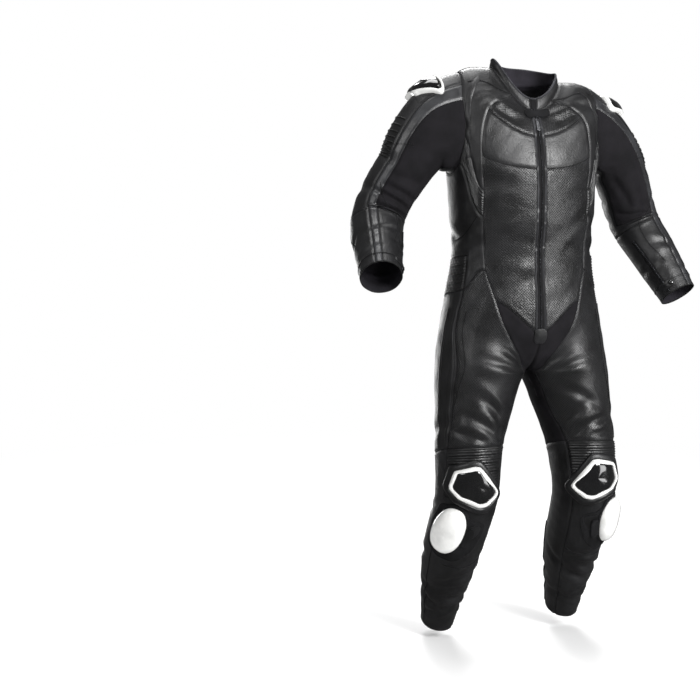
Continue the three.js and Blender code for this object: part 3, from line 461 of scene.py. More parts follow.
lineNames = ["middle", "tape", "princess", "armFront", "side", "armRear", "slantOuter", "slantInner", "spine"]
lineSteps = [1, 3, 4, 2, 2, 3, 1, 2]
sectionRows = [
    ["neck", 2, [0, 0.028, 0.2, 0.42, 0.5, 0.58, 0.66, 0.78, 1], [20, 20, 20, 20, 20, 20, 20, 20, 20]],
    ["yoke", 2, [0, 0.02, 0.22, 0.4, 0.5, 0.6, 0.67, 0.78, 1], [60, 60, 60, 64, 60, 64, 62, 60, 60]],
    ["chestTop", 2, [0, 0.0146, 0.235, 0.383, 0.5, 0.617, 0.68, 0.78, 1],
     [100, 100, 106, 111, 94, 111, 118, 118, 118]],
    ["bandLow", 1, [0, 0.013, 0.25, 0.343, 0.5, 0.657, 0.72, 0.8, 1],
     [184, 184, 178, 140, 140, 140, 155, 160, 162]],
    ["ribTop", 2, [0, 0.0137, 0.262, 0.337, 0.5, 0.663, 0.745, 0.82, 1],
     [221, 221, 243, 168, 168, 168, 190, 197, 200]],
    ["armpit", 4, [0, 0.0139, 0.27, 0.383, 0.5, 0.617, 0.78, 0.85, 1],
     [290, 290, 300, 196, 210, 196, 236, 250, 255]],
    ["waist", 2, [0, 0.0143, 0.27, 0.375, 0.5, 0.62, 0.89, 0.945, 1],
     [370, 370, 385, 396, 402, 410, 428, 430, 430]],
    ["lumbarLow", 2, [0, 0.0138, 0.255, 0.37, 0.5, 0.62, 0.84, 0.92, 1],
     [470, 470, 430, 480, 492, 510, 538, 545, 546]],
    ["bellyTip", 2, [0, 0.0128, 0.19, 0.38, 0.5, 0.61, 0.82, 0.9, 1],
     [592, 590, 505, 535, 545, 560, 588, 596, 598]],
    ["hip", 3, [0, 0.016, 0.105, 0.39, 0.5, 0.61, 0.8, 0.88, 1],
     [640, 640, 630, 630, 630, 632, 638, 642, 642]],
    ["crotch", 3, [0, 0.03, 0.075, 0.395, 0.5, 0.61, 0.79, 0.87, 1], [690] * 9],
    ["thigh", 2, [0, 0.035, 0.08, 0.4, 0.5, 0.61, 0.78, 0.86, 1], [785] * 9],
    ["kneeTop", 3, [0, 0.045, 0.11, 0.42, 0.5, 0.6, 0.76, 0.86, 1],
     [878, 876, 872, 876, 884, 892, 898, 894, 878]],
    ["kneeMid", 2, [0, 0.045, 0.12, 0.43, 0.51, 0.6, 0.76, 0.86, 1], [985] * 9],
    ["kneeLow", 2, [0, 0.045, 0.12, 0.44, 0.52, 0.6, 0.76, 0.86, 1], [1055] * 9],
    ["shin", 2, [0, 0.045, 0.12, 0.44, 0.54, 0.62, 0.76, 0.86, 1], [1130] * 9],
    ["calf", 4, [0, 0.045, 0.12, 0.44, 0.55, 0.64, 0.76, 0.86, 1],
     [1205, 1205, 1205, 1205, 1210, 1215, 1218, 1215, 1205]],
    ["hem", 0, [0, 0.045, 0.12, 0.44, 0.55, 0.64, 0.76, 0.86, 1], [1362] * 9],
]
columnAt = {name: sum(lineSteps[:i]) for i, name in enumerate(lineNames)}
rowAt = {row[0]: sum(other[1] for other in sectionRows[:i]) for i, row in enumerate(sectionRows)}
columnCount = sum(lineSteps)
rowCount = sum(row[1] for row in sectionRows)


def bend(values, index, t):
    before = values[max(index - 1, 0)]
    start = values[index]
    end = values[min(index + 1, len(values) - 1)]
    after = values[min(index + 2, len(values) - 1)]
    startSlope = (end - before) / 2
    endSlope = (after - start) / 2
    cubic = 2 * (start - end) + startSlope + endSlope
    square = 3 * (end - start) - 2 * startSlope - endSlope
    return start + t * (startSlope + t * (square + t * cubic))


def gridPlace(column, row):
    line = 0
    while line < len(lineSteps) - 1 and column >= columnAt[lineNames[line + 1]]:
        line += 1
    across = (column - columnAt[lineNames[line]]) / lineSteps[line]
    level = 0
    while level < len(sectionRows) - 2 and row >= rowAt[sectionRows[level + 1][0]]:
        level += 1
    name, steps, shares, drops = sectionRows[level]
    down = (row - rowAt[name]) / steps
    down = math.sin(down * math.pi / 2) if name == "hip" else down
    values = []
    for start, end in ((shares, sectionRows[level + 1][2]), (drops, sectionRows[level + 1][3])):
        rowValues = [a + (b - a) * down for a, b in zip(start, end)]
        values.append(rowValues[line] if across == 0 else bend(rowValues, line, across))
    if line == 0 and across == 0:
        values[0] = 0
    return values


armhole = {"share": 0.5, "drop": 152, "halfShare": 0.168, "halfDrop": 58}
sleeveRows = [0, 26, 54, 84, 116, 150, 186, 222, 256, 290, 324, 362, 402, 444, 488, 530]
elbowRow = 10
stretchRow = 9
stripeFrom = 6
stripeTo = 7
armTop, armLow = rowAt["chestTop"], rowAt["armpit"]
frontColumn, sideColumn, rearColumn = columnAt["armFront"], columnAt["side"], columnAt["armRear"]
armholeRing = [(column, armLow) for column in range(sideColumn, frontColumn, -1)]
armholeRing += [(frontColumn, row) for row in range(armLow, armTop, -1)]
armholeRing += [(column, armTop) for column in range(frontColumn, rearColumn)]
armholeRing += [(rearColumn, row) for row in range(armTop, armLow)]
armholeRing += [(column, armLow) for column in range(rearColumn, sideColumn, -1)]
ringCount = len(armholeRing)


def armholePlace(index):
    angle = 2 * math.pi * index / ringCount
    return (armhole["share"] - armhole["halfShare"] * np.sin(angle),
            armhole["drop"] + armhole["halfDrop"] * np.cos(angle))


def armFrame(side, along):
    rows = armSections[side]
    centre = lambda s: np.stack([read(rows, "along", axis, s) for axis in ("x", "y", "z")], axis=-1)
    axis = unit(centre(along + 12) - centre(along - 12))
    square = np.array([-1, 0, -0.6])
    square = unit(square - axis * (axis @ square)[..., None])
    share = smooth(along, 0, squareFrom)[..., None]
    down = unit(np.array([0.1, 0, -1]) * (1 - share) + square * share)
    return centre(along), down, np.cross(square, axis)


def sleeveSurface(side, around, along):
    around, along = np.broadcast_arrays(np.asarray(around, float), np.asarray(along, float))
    rows = armSections[side]
    centre, down, forward = armFrame(side, along)
    angle = 2 * np.pi * around
    halfUp, halfDown, halfFront = (read(rows, "along", name, along)
                                   for name in ("halfUp", "halfDown", "halfFront"))
    half = np.where(np.cos(angle) > 0, halfDown, halfUp)
    point = centre + down * (half * np.cos(angle))[..., None]
    point = point + forward * (halfFront * np.sin(angle))[..., None]
    share, drop = armholePlace(around * ringCount)
    follow = underarmFollow + (1 - underarmFollow) * (1 - np.cos(angle)) / 2
    rim = plainBody(share, drop) + (centre - armFrame(side, np.zeros_like(along))[0]) * follow[..., None]
    rim[..., 2] += poseLift(side, share, drop)
    t = (np.clip(along, 0, sleeveBlend) / sleeveBlend)[..., None]
    return (rim + (point - rim) * t * t * (3 - 2 * t)) * np.array([side, 1, 1])


# Coarse grid: points, four-sided faces with their piece, and each corner's place on the pattern
collarRings = table(["share", "front", "side", "back", "inward"], [[0.5, 13, 11, 20, 1], [1, 26, 22, 40, 5]])
gridPoints = []
pointIndex = {}
gridFaces = []
facePieces = []
cornerPlaces = []
cornerGrid = []


def placePoint(key, point):
    if key not in pointIndex:
        pointIndex[key] = len(gridPoints)
        gridPoints.append([float(value) for value in point])
    return pointIndex[key]


def bodyPlace(column, row):
    if (column, row) in armholeRing:
        return armholePlace(armholeRing.index((column, row)))
    share, drop = gridPlace(column, row)
    return (1.0 if column == columnCount else share), drop


def bodyCorner(side, column, row):
    edge = column in (0, columnCount)
    middle = edge and row <= rowAt["crotch"]
    key = (0 if middle else side, column if middle or not edge else 0, row)
    if edge and row == rowAt["crotch"]:
        key = "crotch"
    if key in pointIndex:
        return pointIndex[key]
    share, drop = bodyPlace(column, row)
    if middle:
        return placePoint(key, plainBody(0 if key == "crotch" else share, drop) * np.array([0, 1, 1]))
    return placePoint(key, bodySurface(side, 0.0 if edge else share, drop))


def sleeveCorner(side, index, row):
    around = index % ringCount
    if row == 0:
        return bodyCorner(side, *armholeRing[around])
    key = ("sleeve", side, around, row)
    if key in pointIndex:
        return pointIndex[key]
    return placePoint(key, sleeveSurface(side, around / ringCount, sleeveRows[row]))


def collarCorner(side, column, ring):
    if ring == 0:
        return bodyCorner(side, column, 0)
    share, drop = gridPlace(column, 0)
    base = bodySurface(side, share, drop)
    entry = {name: collarRings[name][ring - 1] for name in collarRings}
    ends = entry["front"] if share < 0.5 else entry["back"]
    rise = ends + (entry["side"] - ends) * math.sin(math.pi * share) ** 2
    inward = 1 - entry["inward"] / math.hypot(base[0], base[1])
    point = [base[0] * inward, base[1] * inward, base[2] + rise]
    edge = column in (0, columnCount)
    if edge:
        point[0] = 0
    return placePoint(("collar", 0 if edge else side, column, ring), point)


def addFace(piece, side, corners, places, grid):
    order = slice(None) if side > 0 else slice(None, None, -1)
    gridFaces.append(corners[order])
    facePieces.append(piece)
    cornerPlaces.append(places[order])
    cornerGrid.append(grid[order])


def bodyPiece(column, row):
    before = lambda name: column < columnAt[name]
    above = lambda name: row < rowAt[name]
    if not above("chestTop") and above("armpit") and not before("armFront") and before("armRear"):
        return None
    if before("tape") and above("bellyTip"):
        return "front_zip"
    if above("chestTop"):
        order = [("princess", "chest_upper"), ("armRear", "yoke"), ("slantOuter", "blade_accordion"),
                 ("slantInner", "back_stripe"), (None, "back_centre")]
    elif above("waist"):
        front = "chest_band" if above("bandLow") else "belly"
        sidePart = "yoke" if above("ribTop") else "rib_accordion" if above("armpit") else "side_panel"
        rear = "blade_accordion" if above("bandLow") else "back_side"
        order = [("princess", front), ("armFront", sidePart), ("armRear", "side_panel"), ("slantOuter", rear),
                 ("slantInner", "back_stripe"), (None, "back_centre")]
    elif above("lumbarLow"):
        order = [("princess", "belly"), ("armFront", "side_panel"), (None, "lumbar_band")]
    elif above("kneeTop"):
        inner = "seat" if above("crotch") else "groin_stretch"
        order = [("princess", "belly" if above("bellyTip") else "groin_stretch"), ("armFront", "thigh_front"),
                 ("armRear", "hip_panel"), ("slantInner", "seat"), (None, inner)]
    else:
        front = "knee_accordion" if above("kneeMid") else "shin"
        rear = "calf_stretch" if above("calf") else "calf_leather"
        order = [("princess", "calf_leather"), ("armFront", front), ("armRear", "shin"),
                 ("slantInner", rear), (None, "calf_leather")]
    return next(piece for name, piece in order if name is None or before(name))


def sleevePiece(index, row):
    if stripeFrom <= index < stripeTo:
        return "sleeve_stripe"
    if row >= elbowRow:
        return "forearm"
    if 1 <= index < stripeFrom and row < stretchRow:
        return "arm_stretch"
    return "sleeve_outer"


def makeGrid():
    single = {"front_zip", "back_centre", "lumbar_band", "collar"}
    square = ((0, 0), (0, 1), (1, 1), (1, 0))
    for side, ending in ((1, "_left"), (-1, "_right")):
        for row in range(rowCount):
            for column in range(columnCount):
                piece = bodyPiece(column, row)
                if piece is None:
                    continue
                cells = [(column + i, row + j) for i, j in square]
                addFace(piece + ("" if piece in single else ending), side,
                        [bodyCorner(side, *cell) for cell in cells], [bodyPlace(*cell) for cell in cells],
                        cells)
        for row in range(len(sleeveRows) - 1):
            for index in range(ringCount):
                cells = [(index + i, row + j) for i, j in square]
                addFace(sleevePiece(index, row) + ending, side, [sleeveCorner(side, *cell) for cell in cells],
                        [(i / ringCount, sleeveRows[j]) for i, j in cells], cells)
        for ring in range(2):
            for column in range(columnCount):
                cells = [(column, ring + 1), (column, ring), (column + 1, ring), (column + 1, ring + 1)]
                addFace("front_zip" if column < columnAt["tape"] else "collar", side,
                        [collarCorner(side, *cell) for cell in cells],
                        [(gridPlace(i, 0)[0], 20.0 - 20 * j) for i, j in cells], [(i, -j) for i, j in cells])


makeGrid()
pieceNames = sorted(set(facePieces))
pieceNumber = {name: i for i, name in enumerate(pieceNames)}
print("grid:", len(gridPoints), "points,", len(gridFaces), "faces,", len(pieceNames), "panels")


# Subdivision of the coarse grid; the control points are moved so that the smooth surface meets the grid
def newMesh(name, points, faces):
    mesh = bpy.data.meshes.new(name)
    mesh.from_pydata(np.asarray(points).tolist(), [], [list(face) for face in faces])
    mesh.update()
    return mesh


def readCorners(mesh, layer):
    values = np.zeros(len(mesh.loops) * 2)
    mesh.uv_layers[layer].data.foreach_get("uv", values)
    return values.reshape(-1, 4, 2)


def readPoints(mesh):
    values = np.zeros(len(mesh.vertices) * 3)
    mesh.vertices.foreach_get("co", values)
    return values.reshape(-1, 3)


def writeLayer(mesh, name, values):
    layer = mesh.uv_layers.get(name) or mesh.uv_layers.new(name=name)
    layer.data.foreach_set("uv", np.asarray(values, float).ravel())


def subdivided(mesh, kind, levels):
    cage = bpy.data.objects.new("cage", mesh)
    bpy.context.scene.collection.objects.link(cage)
    modifier = cage.modifiers.new("smooth", "SUBSURF")
    modifier.subdivision_type = kind
    modifier.levels = modifier.render_levels = levels
    evaluated = cage.evaluated_get(bpy.context.evaluated_depsgraph_get())
    result = bpy.data.meshes.new_from_object(evaluated)
    bpy.data.objects.remove(cage)
    return result


def unwrapPanels(mesh):
    owner = {}
    for face, piece in zip(mesh.polygons, facePieces):
        for key in face.edge_keys:
            owner.setdefault(key, set()).add(piece)
    for edge in mesh.edges:
        edge.use_seam = len(owner[edge.key]) > 1
    cage = bpy.data.objects.new("pattern", mesh)
    bpy.context.scene.collection.objects.link(cage)
    bpy.context.view_layer.objects.active = cage
    cage.select_set(True)
    bpy.ops.object.mode_set(mode="EDIT")
    bpy.ops.mesh.select_all(action="SELECT")
    bpy.ops.uv.unwrap(method="ANGLE_BASED", margin=0.001)
    bpy.ops.object.mode_set(mode="OBJECT")
    bpy.data.objects.remove(cage)


def makeSurface(levels):
    mesh = newMesh("cage", np.array(gridPoints) * mm, gridFaces)
    mesh.uv_layers.new(name="cloth")
    unwrapPanels(mesh)
    writeLayer(mesh, "place", np.array(cornerPlaces) * [1, 0.001])
    writeLayer(mesh, "grid", np.array(cornerGrid) / 100)
    target = readPoints(mesh)
    smoothed = readPoints(subdivided(mesh, "CATMULL_CLARK", levels))[:len(target)]
    mesh.vertices.foreach_set("co", (2 * target - smoothed).ravel())
    return subdivided(mesh, "CATMULL_CLARK", levels)


surfaceLevels = 3
surface = makeSurface(surfaceLevels)
points = readPoints(surface)
faces = np.zeros(len(surface.loops), int)
surface.loops.foreach_get("vertex_index", faces)
faces = faces.reshape(-1, 4)
piece = np.repeat([pieceNumber[name] for name in facePieces], 4 ** surfaceLevels)
placeUV = readCorners(surface, "place") * [1, 1000]
gridUV = readCorners(surface, "grid") * 100
clothUV = readCorners(surface, "cloth")
print("surface:", len(points), "points,", len(faces), "faces")


def pointNormals(points, faces):
    a, b, c, d = (points[faces[:, i]] for i in range(4))
    cross = np.cross(c - a, d - b)
    normals = np.zeros_like(points)
    for i in range(4):
        np.add.at(normals, faces[:, i], cross)
    return unit(normals)


def boundary(faces):
    starts = faces.ravel()
    ends = np.roll(faces, -1, axis=1).ravel()
    size = int(faces.max()) + 1
    forward = starts.astype(np.int64) * size + ends
    backward = ends.astype(np.int64) * size + starts
    open_ = ~np.isin(forward, backward)
    return np.stack([starts[open_], ends[open_]], axis=1)


# Where each point is: body or sleeve, which side, and its place on the pattern
isSleeve = np.array([name.rsplit("_", 1)[0] in ("sleeve_stripe", "sleeve_outer", "forearm", "arm_stretch")
                     for name in pieceNames])
sleeveOf = np.zeros(len(points), bool)
placeOf = np.zeros((len(points), 2))
for wanted in (True, False):
    chosen = isSleeve[piece] == wanted
    sleeveOf[faces[chosen].ravel()] = wanted
    placeOf[faces[chosen].ravel()] = placeUV[chosen].reshape(-1, 2)
sideOf = np.where(points[:, 0] >= 0, 1, -1)

# Creases, listed one by one. turn 0 runs down, 90 runs across; depth below zero is a trough with soft
# shoulders.
foldColumns = ["side", "share", "drop", "turn", "length", "width", "depth"]
bodyFolds = table(foldColumns, [
    [0, 0.16, 62, 62, 90, 12, 2.2],
    [0, 0.2, 92, 74, 80, 10, -2.0],
    [-1, 0.3, 96, 38, 70, 9, -2.2],
    [1, 0.3, 104, 52, 84, 10, -3.0],
    [1, 0.24, 132, 70, 70, 11, 2.2],
    [-1, 0.21, 226, 78, 96, 13, -3.2],
    [1, 0.22, 236, 104, 80, 12, -2.4],
    [1, 0.25, 296, 116, 90, 12, -2.6],
    [-1, 0.2, 330, 60, 100, 16, 1.8],
    [1, 0.16, 352, 122, 120, 16, 1.8],
    [0, 0.1, 420, 84, 110, 15, 1.4],
    [-1, 0.12, 470, 64, 110, 14, -1.8],
    [1, 0.13, 488, 108, 100, 13, -2.0],
    [0, 0.36, 300, 60, 110, 14, -3.0],
    [0, 0.42, 338, 66, 120, 15, -3.6],
    [0, 0.38, 378, 74, 100, 12, -3.0],
    [0, 0.58, 340, 108, 110, 14, -3.0],
    [-1, 0.31, 560, 30, 120, 14, -2.0],
    [0, 0.12, 652, 128, 90, 11, -3.2],
    [0, 0.2, 668, 116, 110, 13, -3.0],
    [-1, 0.26, 742, 128, 110, 13, 2.6],
    [1, 0.22, 756, 58, 110, 13, -3.0],
    [-1, 0.2, 800, 132, 130, 11, -4.6],
    [-1, 0.25, 826, 122, 120, 10, -4.2],
    [-1, 0.31, 846, 114, 110, 9, -4.0],
    [-1, 0.16, 846, 140, 84, 9, -3.4],
    [1, 0.18, 806, 122, 120, 11, -4.4],
    [1, 0.25, 832, 112, 130, 10, -4.6],
    [1, 0.32, 850, 104, 100, 9, -3.4],
    [0, 0.46, 820, 66, 120, 14, -3.2],
    [0, 0.44, 1010, 80, 90, 10, -3.0],
    [-1, 0.2, 1160, 62, 100, 10, -4.6],
    [-1, 0.28, 1196, 70, 120, 10, -5.5],
    [-1, 0.36, 1226, 78, 110, 11, -5.3],
    [-1, 0.22, 1252, 96, 90, 9, -4.8],
    [-1, 0.32, 1296, 64, 90, 9, -4.3],
    [-1, 0.46, 1270, 104, 90, 10, -4.1],
    [1, 0.24, 1152, 108, 100, 10, -4.3],
    [1, 0.32, 1188, 76, 120, 10, -5.3],
    [1, 0.24, 1222, 66, 110, 10, -5.3],
    [1, 0.36, 1262, 98, 90, 9, -4.6],
    [1, 0.26, 1304, 82, 90, 9, -4.1],
    [0, 0.6, 1180, 66, 90, 11, -3.8],
    [0, 0.66, 1262, 112, 90, 11, -4.1],
    [0, 0.8, 1300, 84, 80, 9, -3.6],
    [0, 0.9, 1246, 70, 80, 9, -3.6],
    [0, 0.08, 1180, 74, 90, 10, -3.6],
    [0, 0.07, 1290, 100, 80, 9, -3.4],
    [-1, 0.955, 268, 4, 120, 10, -5.2],
    [-1, 0.93, 352, 14, 110, 9, -4.4],
    [-1, 0.9, 388, 40, 80, 9, -3.2],
    [1, 0.95, 292, -6, 130, 10, -4.6],
    [1, 0.9, 372, 20, 100, 9, -3.4],
    [0, 0.86, 216, 24, 130, 16, 2.4],
    [0, 0.8, 160, 50, 110, 14, 2.0],
    [0, 0.84, 320, 12, 120, 14, -2.6],
    [0, 0.9, 566, 100, 100, 11, -3.0],
    [0, 0.8, 604, 76, 130, 13, -4.6],
    [-1, 0.76, 652, 68, 140, 12, -3.7],
    [-1, 0.74, 690, 76, 150, 12, -4.1],
    [-1, 0.72, 726, 72, 150, 12, -4.2],
    [-1, 0.7, 762, 82, 140, 12, -3.8],
    [-1, 0.68, 800, 74, 130, 11, -3.3],
    [1, 0.77, 660, 74, 130, 12, -3.5],
    [1, 0.74, 704, 70, 150, 12, -4.1],
    [1, 0.73, 744, 80, 140, 12, -4.0],
    [1, 0.7, 784, 72, 140, 12, -3.6],
    [0, 0.66, 848, 86, 110, 11, -4.0],
    [0, 0.86, 748, 104, 90, 10, -2.4],
    [0, 0.7, 1010, 88, 110, 12, -4.2],
    [0, 0.68, 1044, 92, 120, 11, -4.6],
    [0, 0.72, 1080, 84, 100, 11, -3.8],
    [0, 0.82, 1030, 92, 90, 10, -3.0],
])
sleeveFolds = table(foldColumns, [
    [-1, 0.22, 176, 78, 90, 10, -3.4],
    [-1, 0.2, 214, 86, 110, 10, -4.6],
    [-1, 0.24, 250, 94, 120, 10, -5.4],
    [-1, 0.2, 286, 84, 110, 9, -5.0],
    [-1, 0.28, 318, 98, 90, 9, -3.8],
    [1, 0.16, 176, 8, 130, 10, -3.2],
    [1, 0.24, 206, -6, 150, 11, -3.8],
    [1, 0.2, 262, 62, 110, 10, -4.0],
    [1, 0.26, 300, 80, 110, 10, -4.2],
    [0, 0.62, 168, 74, 90, 11, -3.4],
    [0, 0.7, 206, 60, 100, 11, -3.6],
    [0, 0.44, 150, 98, 80, 10, -2.8],
    [0, 0.5, 250, 70, 100, 12, -2.6],
    [0, 0.84, 210, 82, 110, 12, -3.6],
    [0, 0.86, 280, 92, 100, 11, -3.6],
    [0, 0.3, 402, 76, 90, 9, -2.8],
    [0, 0.12, 440, 92, 80, 9, -2.6],
    [0, 0.6, 418, 58, 90, 10, -2.6],
    [0, 0.8, 462, 84, 80, 9, -2.4],
    [0, 0.42, 476, 72, 70, 8, -2.2],
])


def foldDepth(folds, side, share, drop, girth, period):
    depth = np.zeros(len(share))
    for i in range(len(folds["side"])):
        fold = {name: folds[name][i] for name in foldColumns}
        turn = math.radians(fold["turn"])
        for foldSide in ((1, -1) if fold["side"] == 0 else (fold["side"],)):
            gap = side * share - foldSide * fold["share"] if period is None else share - fold["share"]
            wrap = 2 if period is None else period
            gap = (gap + wrap / 2) % wrap - wrap / 2
            x = gap * girth * (foldSide if period is None else 1)
            y = drop - fold["drop"]
            along = (x * math.sin(turn) + y * math.cos(turn)) / fold["length"] * 2
            across = (x * math.cos(turn) - y * math.sin(turn)) / fold["width"]
            across = across + 0.35 * np.sin(along * 1.7 + fold["share"] * 20)
            near = (np.abs(along) < 1.7) & (np.abs(across) < 4.5) & ((period is None) | (side == foldSide))
            along, across = along[near], across[near]
            shape = np.exp(-across ** 2)
            for weight, place in ((0.42, 1.7), (0.36, -1.7)):
                shape = shape - weight * np.exp(-(across - place) ** 2)
            depth[near] += fold["depth"] * shape * np.exp(-along ** 4)
    return depth


share, drop = placeOf[:, 0], placeOf[:, 1]
legPart = smooth(drop, crotchDrop - 30, crotchDrop)
legGirth = np.interp(drop, legSections["drop"], 6.0 * (legSections["halfX"] + legSections["halfY"]) / 2)
trunkDepth = foldDepth(bodyFolds, sideOf, share, drop, 500.0, None)
legDepth = foldDepth(bodyFolds, sideOf, share, drop, legGirth, 1.0)
armGirth = np.interp(drop, [0, 150, 300, 530], [480, 430, 400, 290])
armDepth = foldDepth(sleeveFolds, sideOf, share, drop, armGirth, 1.0)
armDepth = armDepth * smooth(drop, 2, 30) * smooth(530 - drop, 0, 20)
bodyDepth = trunkDepth * (1 - legPart) + legDepth * legPart
onCollar = (drop < 20) & ~sleeveOf
depth = np.where(sleeveOf, armDepth, np.where(onCollar, 0, bodyDepth * smooth(1362 - drop, 0, 25)))

# Slack of the hide: a gentle unevenness of less than a millimetre; each wave has a scale in mm, a direction
# and a phase
slackWaves = [(64, (1, 0.3, 0.6), 0.4), (47, (-0.4, 1, 0.5), 2.1), (33, (0.2, -0.6, 1), 4.4),
              (25, (0.8, 0.5, -0.7), 1.2)]
slackStretch = 1.3
slackHeight = 0.16
wave = np.zeros(len(points))
for scale, direction, phase in slackWaves:
    wave += np.sin(points @ np.array(direction) * 1000 / scale * 2 * math.pi / slackStretch + phase)
depth = depth + wave * slackHeight

# Seams: the edges between two panels lie in a narrow valley with slightly puffed shoulders
seamShape = {"valley": 1.5, "valleyWidth": 2.6, "puff": 0.55, "puffPlace": 7.0, "puffWidth": 4.5}
seamEdges = {}
for number, name in enumerate(pieceNames):
    seamEdges[name] = boundary(faces[piece == number])
allEdges = np.sort(np.concatenate(list(seamEdges.values())), axis=1)
uniqueEdges, uses = np.unique(allEdges, axis=0, return_counts=True)
sewnEdges = uniqueEdges[uses == 2]
openEdges = uniqueEdges[uses == 1]
tree = KDTree(len(sewnEdges) * 2)
for i, (a, b) in enumerate(sewnEdges):
    tree.insert(points[a], 2 * i)
    tree.insert((points[a] + points[b]) / 2, 2 * i + 1)
tree.balance()
seamGap = np.array([tree.find(point)[2] for point in points]) / mm
seamGap[np.unique(sewnEdges)] = 0
depth = depth - seamShape["valley"] * np.exp(-(seamGap / seamShape["valleyWidth"]) ** 2)
puffOff = (seamGap - seamShape["puffPlace"]) / seamShape["puffWidth"]
depth = depth + seamShape["puff"] * np.exp(-puffOff ** 2)
points = points + pointNormals(points, faces) * depth[:, None] * mm
normals = pointNormals(points, faces)
cover = BVHTree.FromPolygons(points.tolist(), faces.tolist())
print("folds and seams laid:", len(bodyFolds["side"]) + len(sleeveFolds["side"]), "creases,",
      len(sewnEdges), "seam edges")


# Objects
def addObject(name, mesh, materialNames, slot, body="suit"):
    for materialName in materialNames:
        mesh.materials.append(materials[materialName])
    thing = bpy.data.objects.new(name, mesh)
    bpy.context.scene.collection.objects.link(thing)
    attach(thing, body)
    return thing


def shadeByAngle(mesh, degrees):
    mesh.polygons.foreach_set("use_smooth", [True] * len(mesh.polygons))
    mesh.set_sharp_from_angle(angle=math.radians(degrees))


# What each panel is: material, wall in mm, slot, topstitch rows in mm from its edge
panelLooks = {
    "front_zip": ("zipTape", 1.2, "zip_tape", ()),
    "collar": ("leather", 2.2, "leather", (2.6,)),
    "groin_stretch": ("stretch", 1.4, "stretch", ()),
    "calf_stretch": ("stretch", 1.4, "stretch", ()),
    "arm_stretch": ("stretch", 1.4, "stretch", ()),
    # The sleeve stripe's lighter leather is a painted highlight along the arm
    "sleeve_stripe": ("stripe", 1.8, "leather", (2.6,)),
    "knee_accordion": ("ribbed", 1.8, "ribbed_leather", (2.6,)),
    "rib_accordion": ("ribbed", 1.8, "ribbed_leather", (2.6,)),
    "blade_accordion": ("ribbed", 1.8, "ribbed_leather", (2.6,)),
    "lumbar_band": ("ribbed", 1.8, "ribbed_leather", (2.6,)),
    "chest_upper": ("perforated", 1.8, "perforated_leather", (2.6, 6.0)),
    "belly": ("perforated", 1.8, "perforated_leather", (2.6, 6.0)),
    "thigh_front": ("perforated", 1.8, "perforated_leather", (2.6, 6.0)),
}
plainLook = ("leather", 1.8, "leather", (2.6, 6.0))

# Ribs of the accordion panels: ribs and cells to each row and column of the pattern grid
ribLooks = {
    "knee_accordion": {"ribs": 6, "cells": 2.0, "rise": 2.3, "slant": 0.0},
    "rib_accordion": {"ribs": 5, "cells": 1.6, "rise": 2.1, "slant": 0.0},
    "blade_accordion": {"ribs": 5, "cells": 1.0, "rise": 1.9, "slant": 0.9},
    "lumbar_band": {"ribs": 6, "cells": 2.0, "rise": 2.2, "slant": 0.0},
}


gatherShare = 1.45  # a ribbed panel is cut this much longer and gathered on its backing


def ribHeight(look, column, row):
    middle = (columnAt["armRear"] + columnAt["slantOuter"]) / 2
    phase = row * look["ribs"] + look["slant"] * np.abs(column - middle)
    ridge = np.abs(np.sin(math.pi * phase)) ** 0.7
    brick = 0.5 * (np.floor(phase) % 2)
    cell = np.abs(np.sin(math.pi * (column * look["cells"] + brick))) ** 0.35
    return look["rise"] * ridge * (0.62 + 0.38 * cell)


def panelKind(name):
    return name[:-5] if name.endswith("_left") else name[:-6] if name.endswith("_right") else name


def panelArrays(name):
    chosen = piece == pieceNumber[name]
    used, corners = np.unique(faces[chosen], return_inverse=True)
    corners = corners.reshape(-1, 4)
    return used, corners, clothUV[chosen], gridUV[chosen]


# Flat pattern of a panel in metres, from its unwrapped corners
def flatPattern(panelPoints, corners, uv):
    a, b, c, d = (panelPoints[corners[:, i]] for i in range(4))
    area = np.linalg.norm(np.cross(c - a, d - b), axis=1).sum() / 2
    p, q = uv[:, 2] - uv[:, 0], uv[:, 3] - uv[:, 1]
    flatArea = np.abs(p[:, 0] * q[:, 1] - p[:, 1] * q[:, 0]).sum() / 2
    return uv * math.sqrt(area / flatArea), area


# Every face of a ribbed panel is cut into strips across its ribs
def refined(panelPoints, corners, layers, gap, cuts):
    step = np.abs(layers["grid"][:, 1] - layers["grid"][:, 0])
    order = np.where((step[:, 1] > step[:, 0])[:, None], [0, 1, 2, 3], [1, 2, 3, 0])
    row = np.arange(len(corners))[:, None]
    corners = corners[row, order]
    t = np.linspace(0, 1, cuts + 1)[None, :, None]

    def strips(values):
        near = values[:, None, 0] * (1 - t) + values[:, None, 1] * t
        far = values[:, None, 3] * (1 - t) + values[:, None, 2] * t
        parts = np.stack([near[:, :-1], near[:, 1:], far[:, 1:], far[:, :-1]], axis=2)
        return parts.reshape(-1, 4, values.shape[-1])

    spots = strips(panelPoints[corners]).reshape(-1, 3)
    merged = np.unique(np.round(spots * 1e7).astype(int), axis=0, return_index=True, return_inverse=True)
    first, fineFaces = merged[1:]
    fineGap = strips(gap[corners][..., None]).ravel()[first]
    fineLayers = {layer: strips(values[row, order]) for layer, values in layers.items()}
    return spots[first], fineFaces.reshape(-1, 4), fineLayers, fineGap


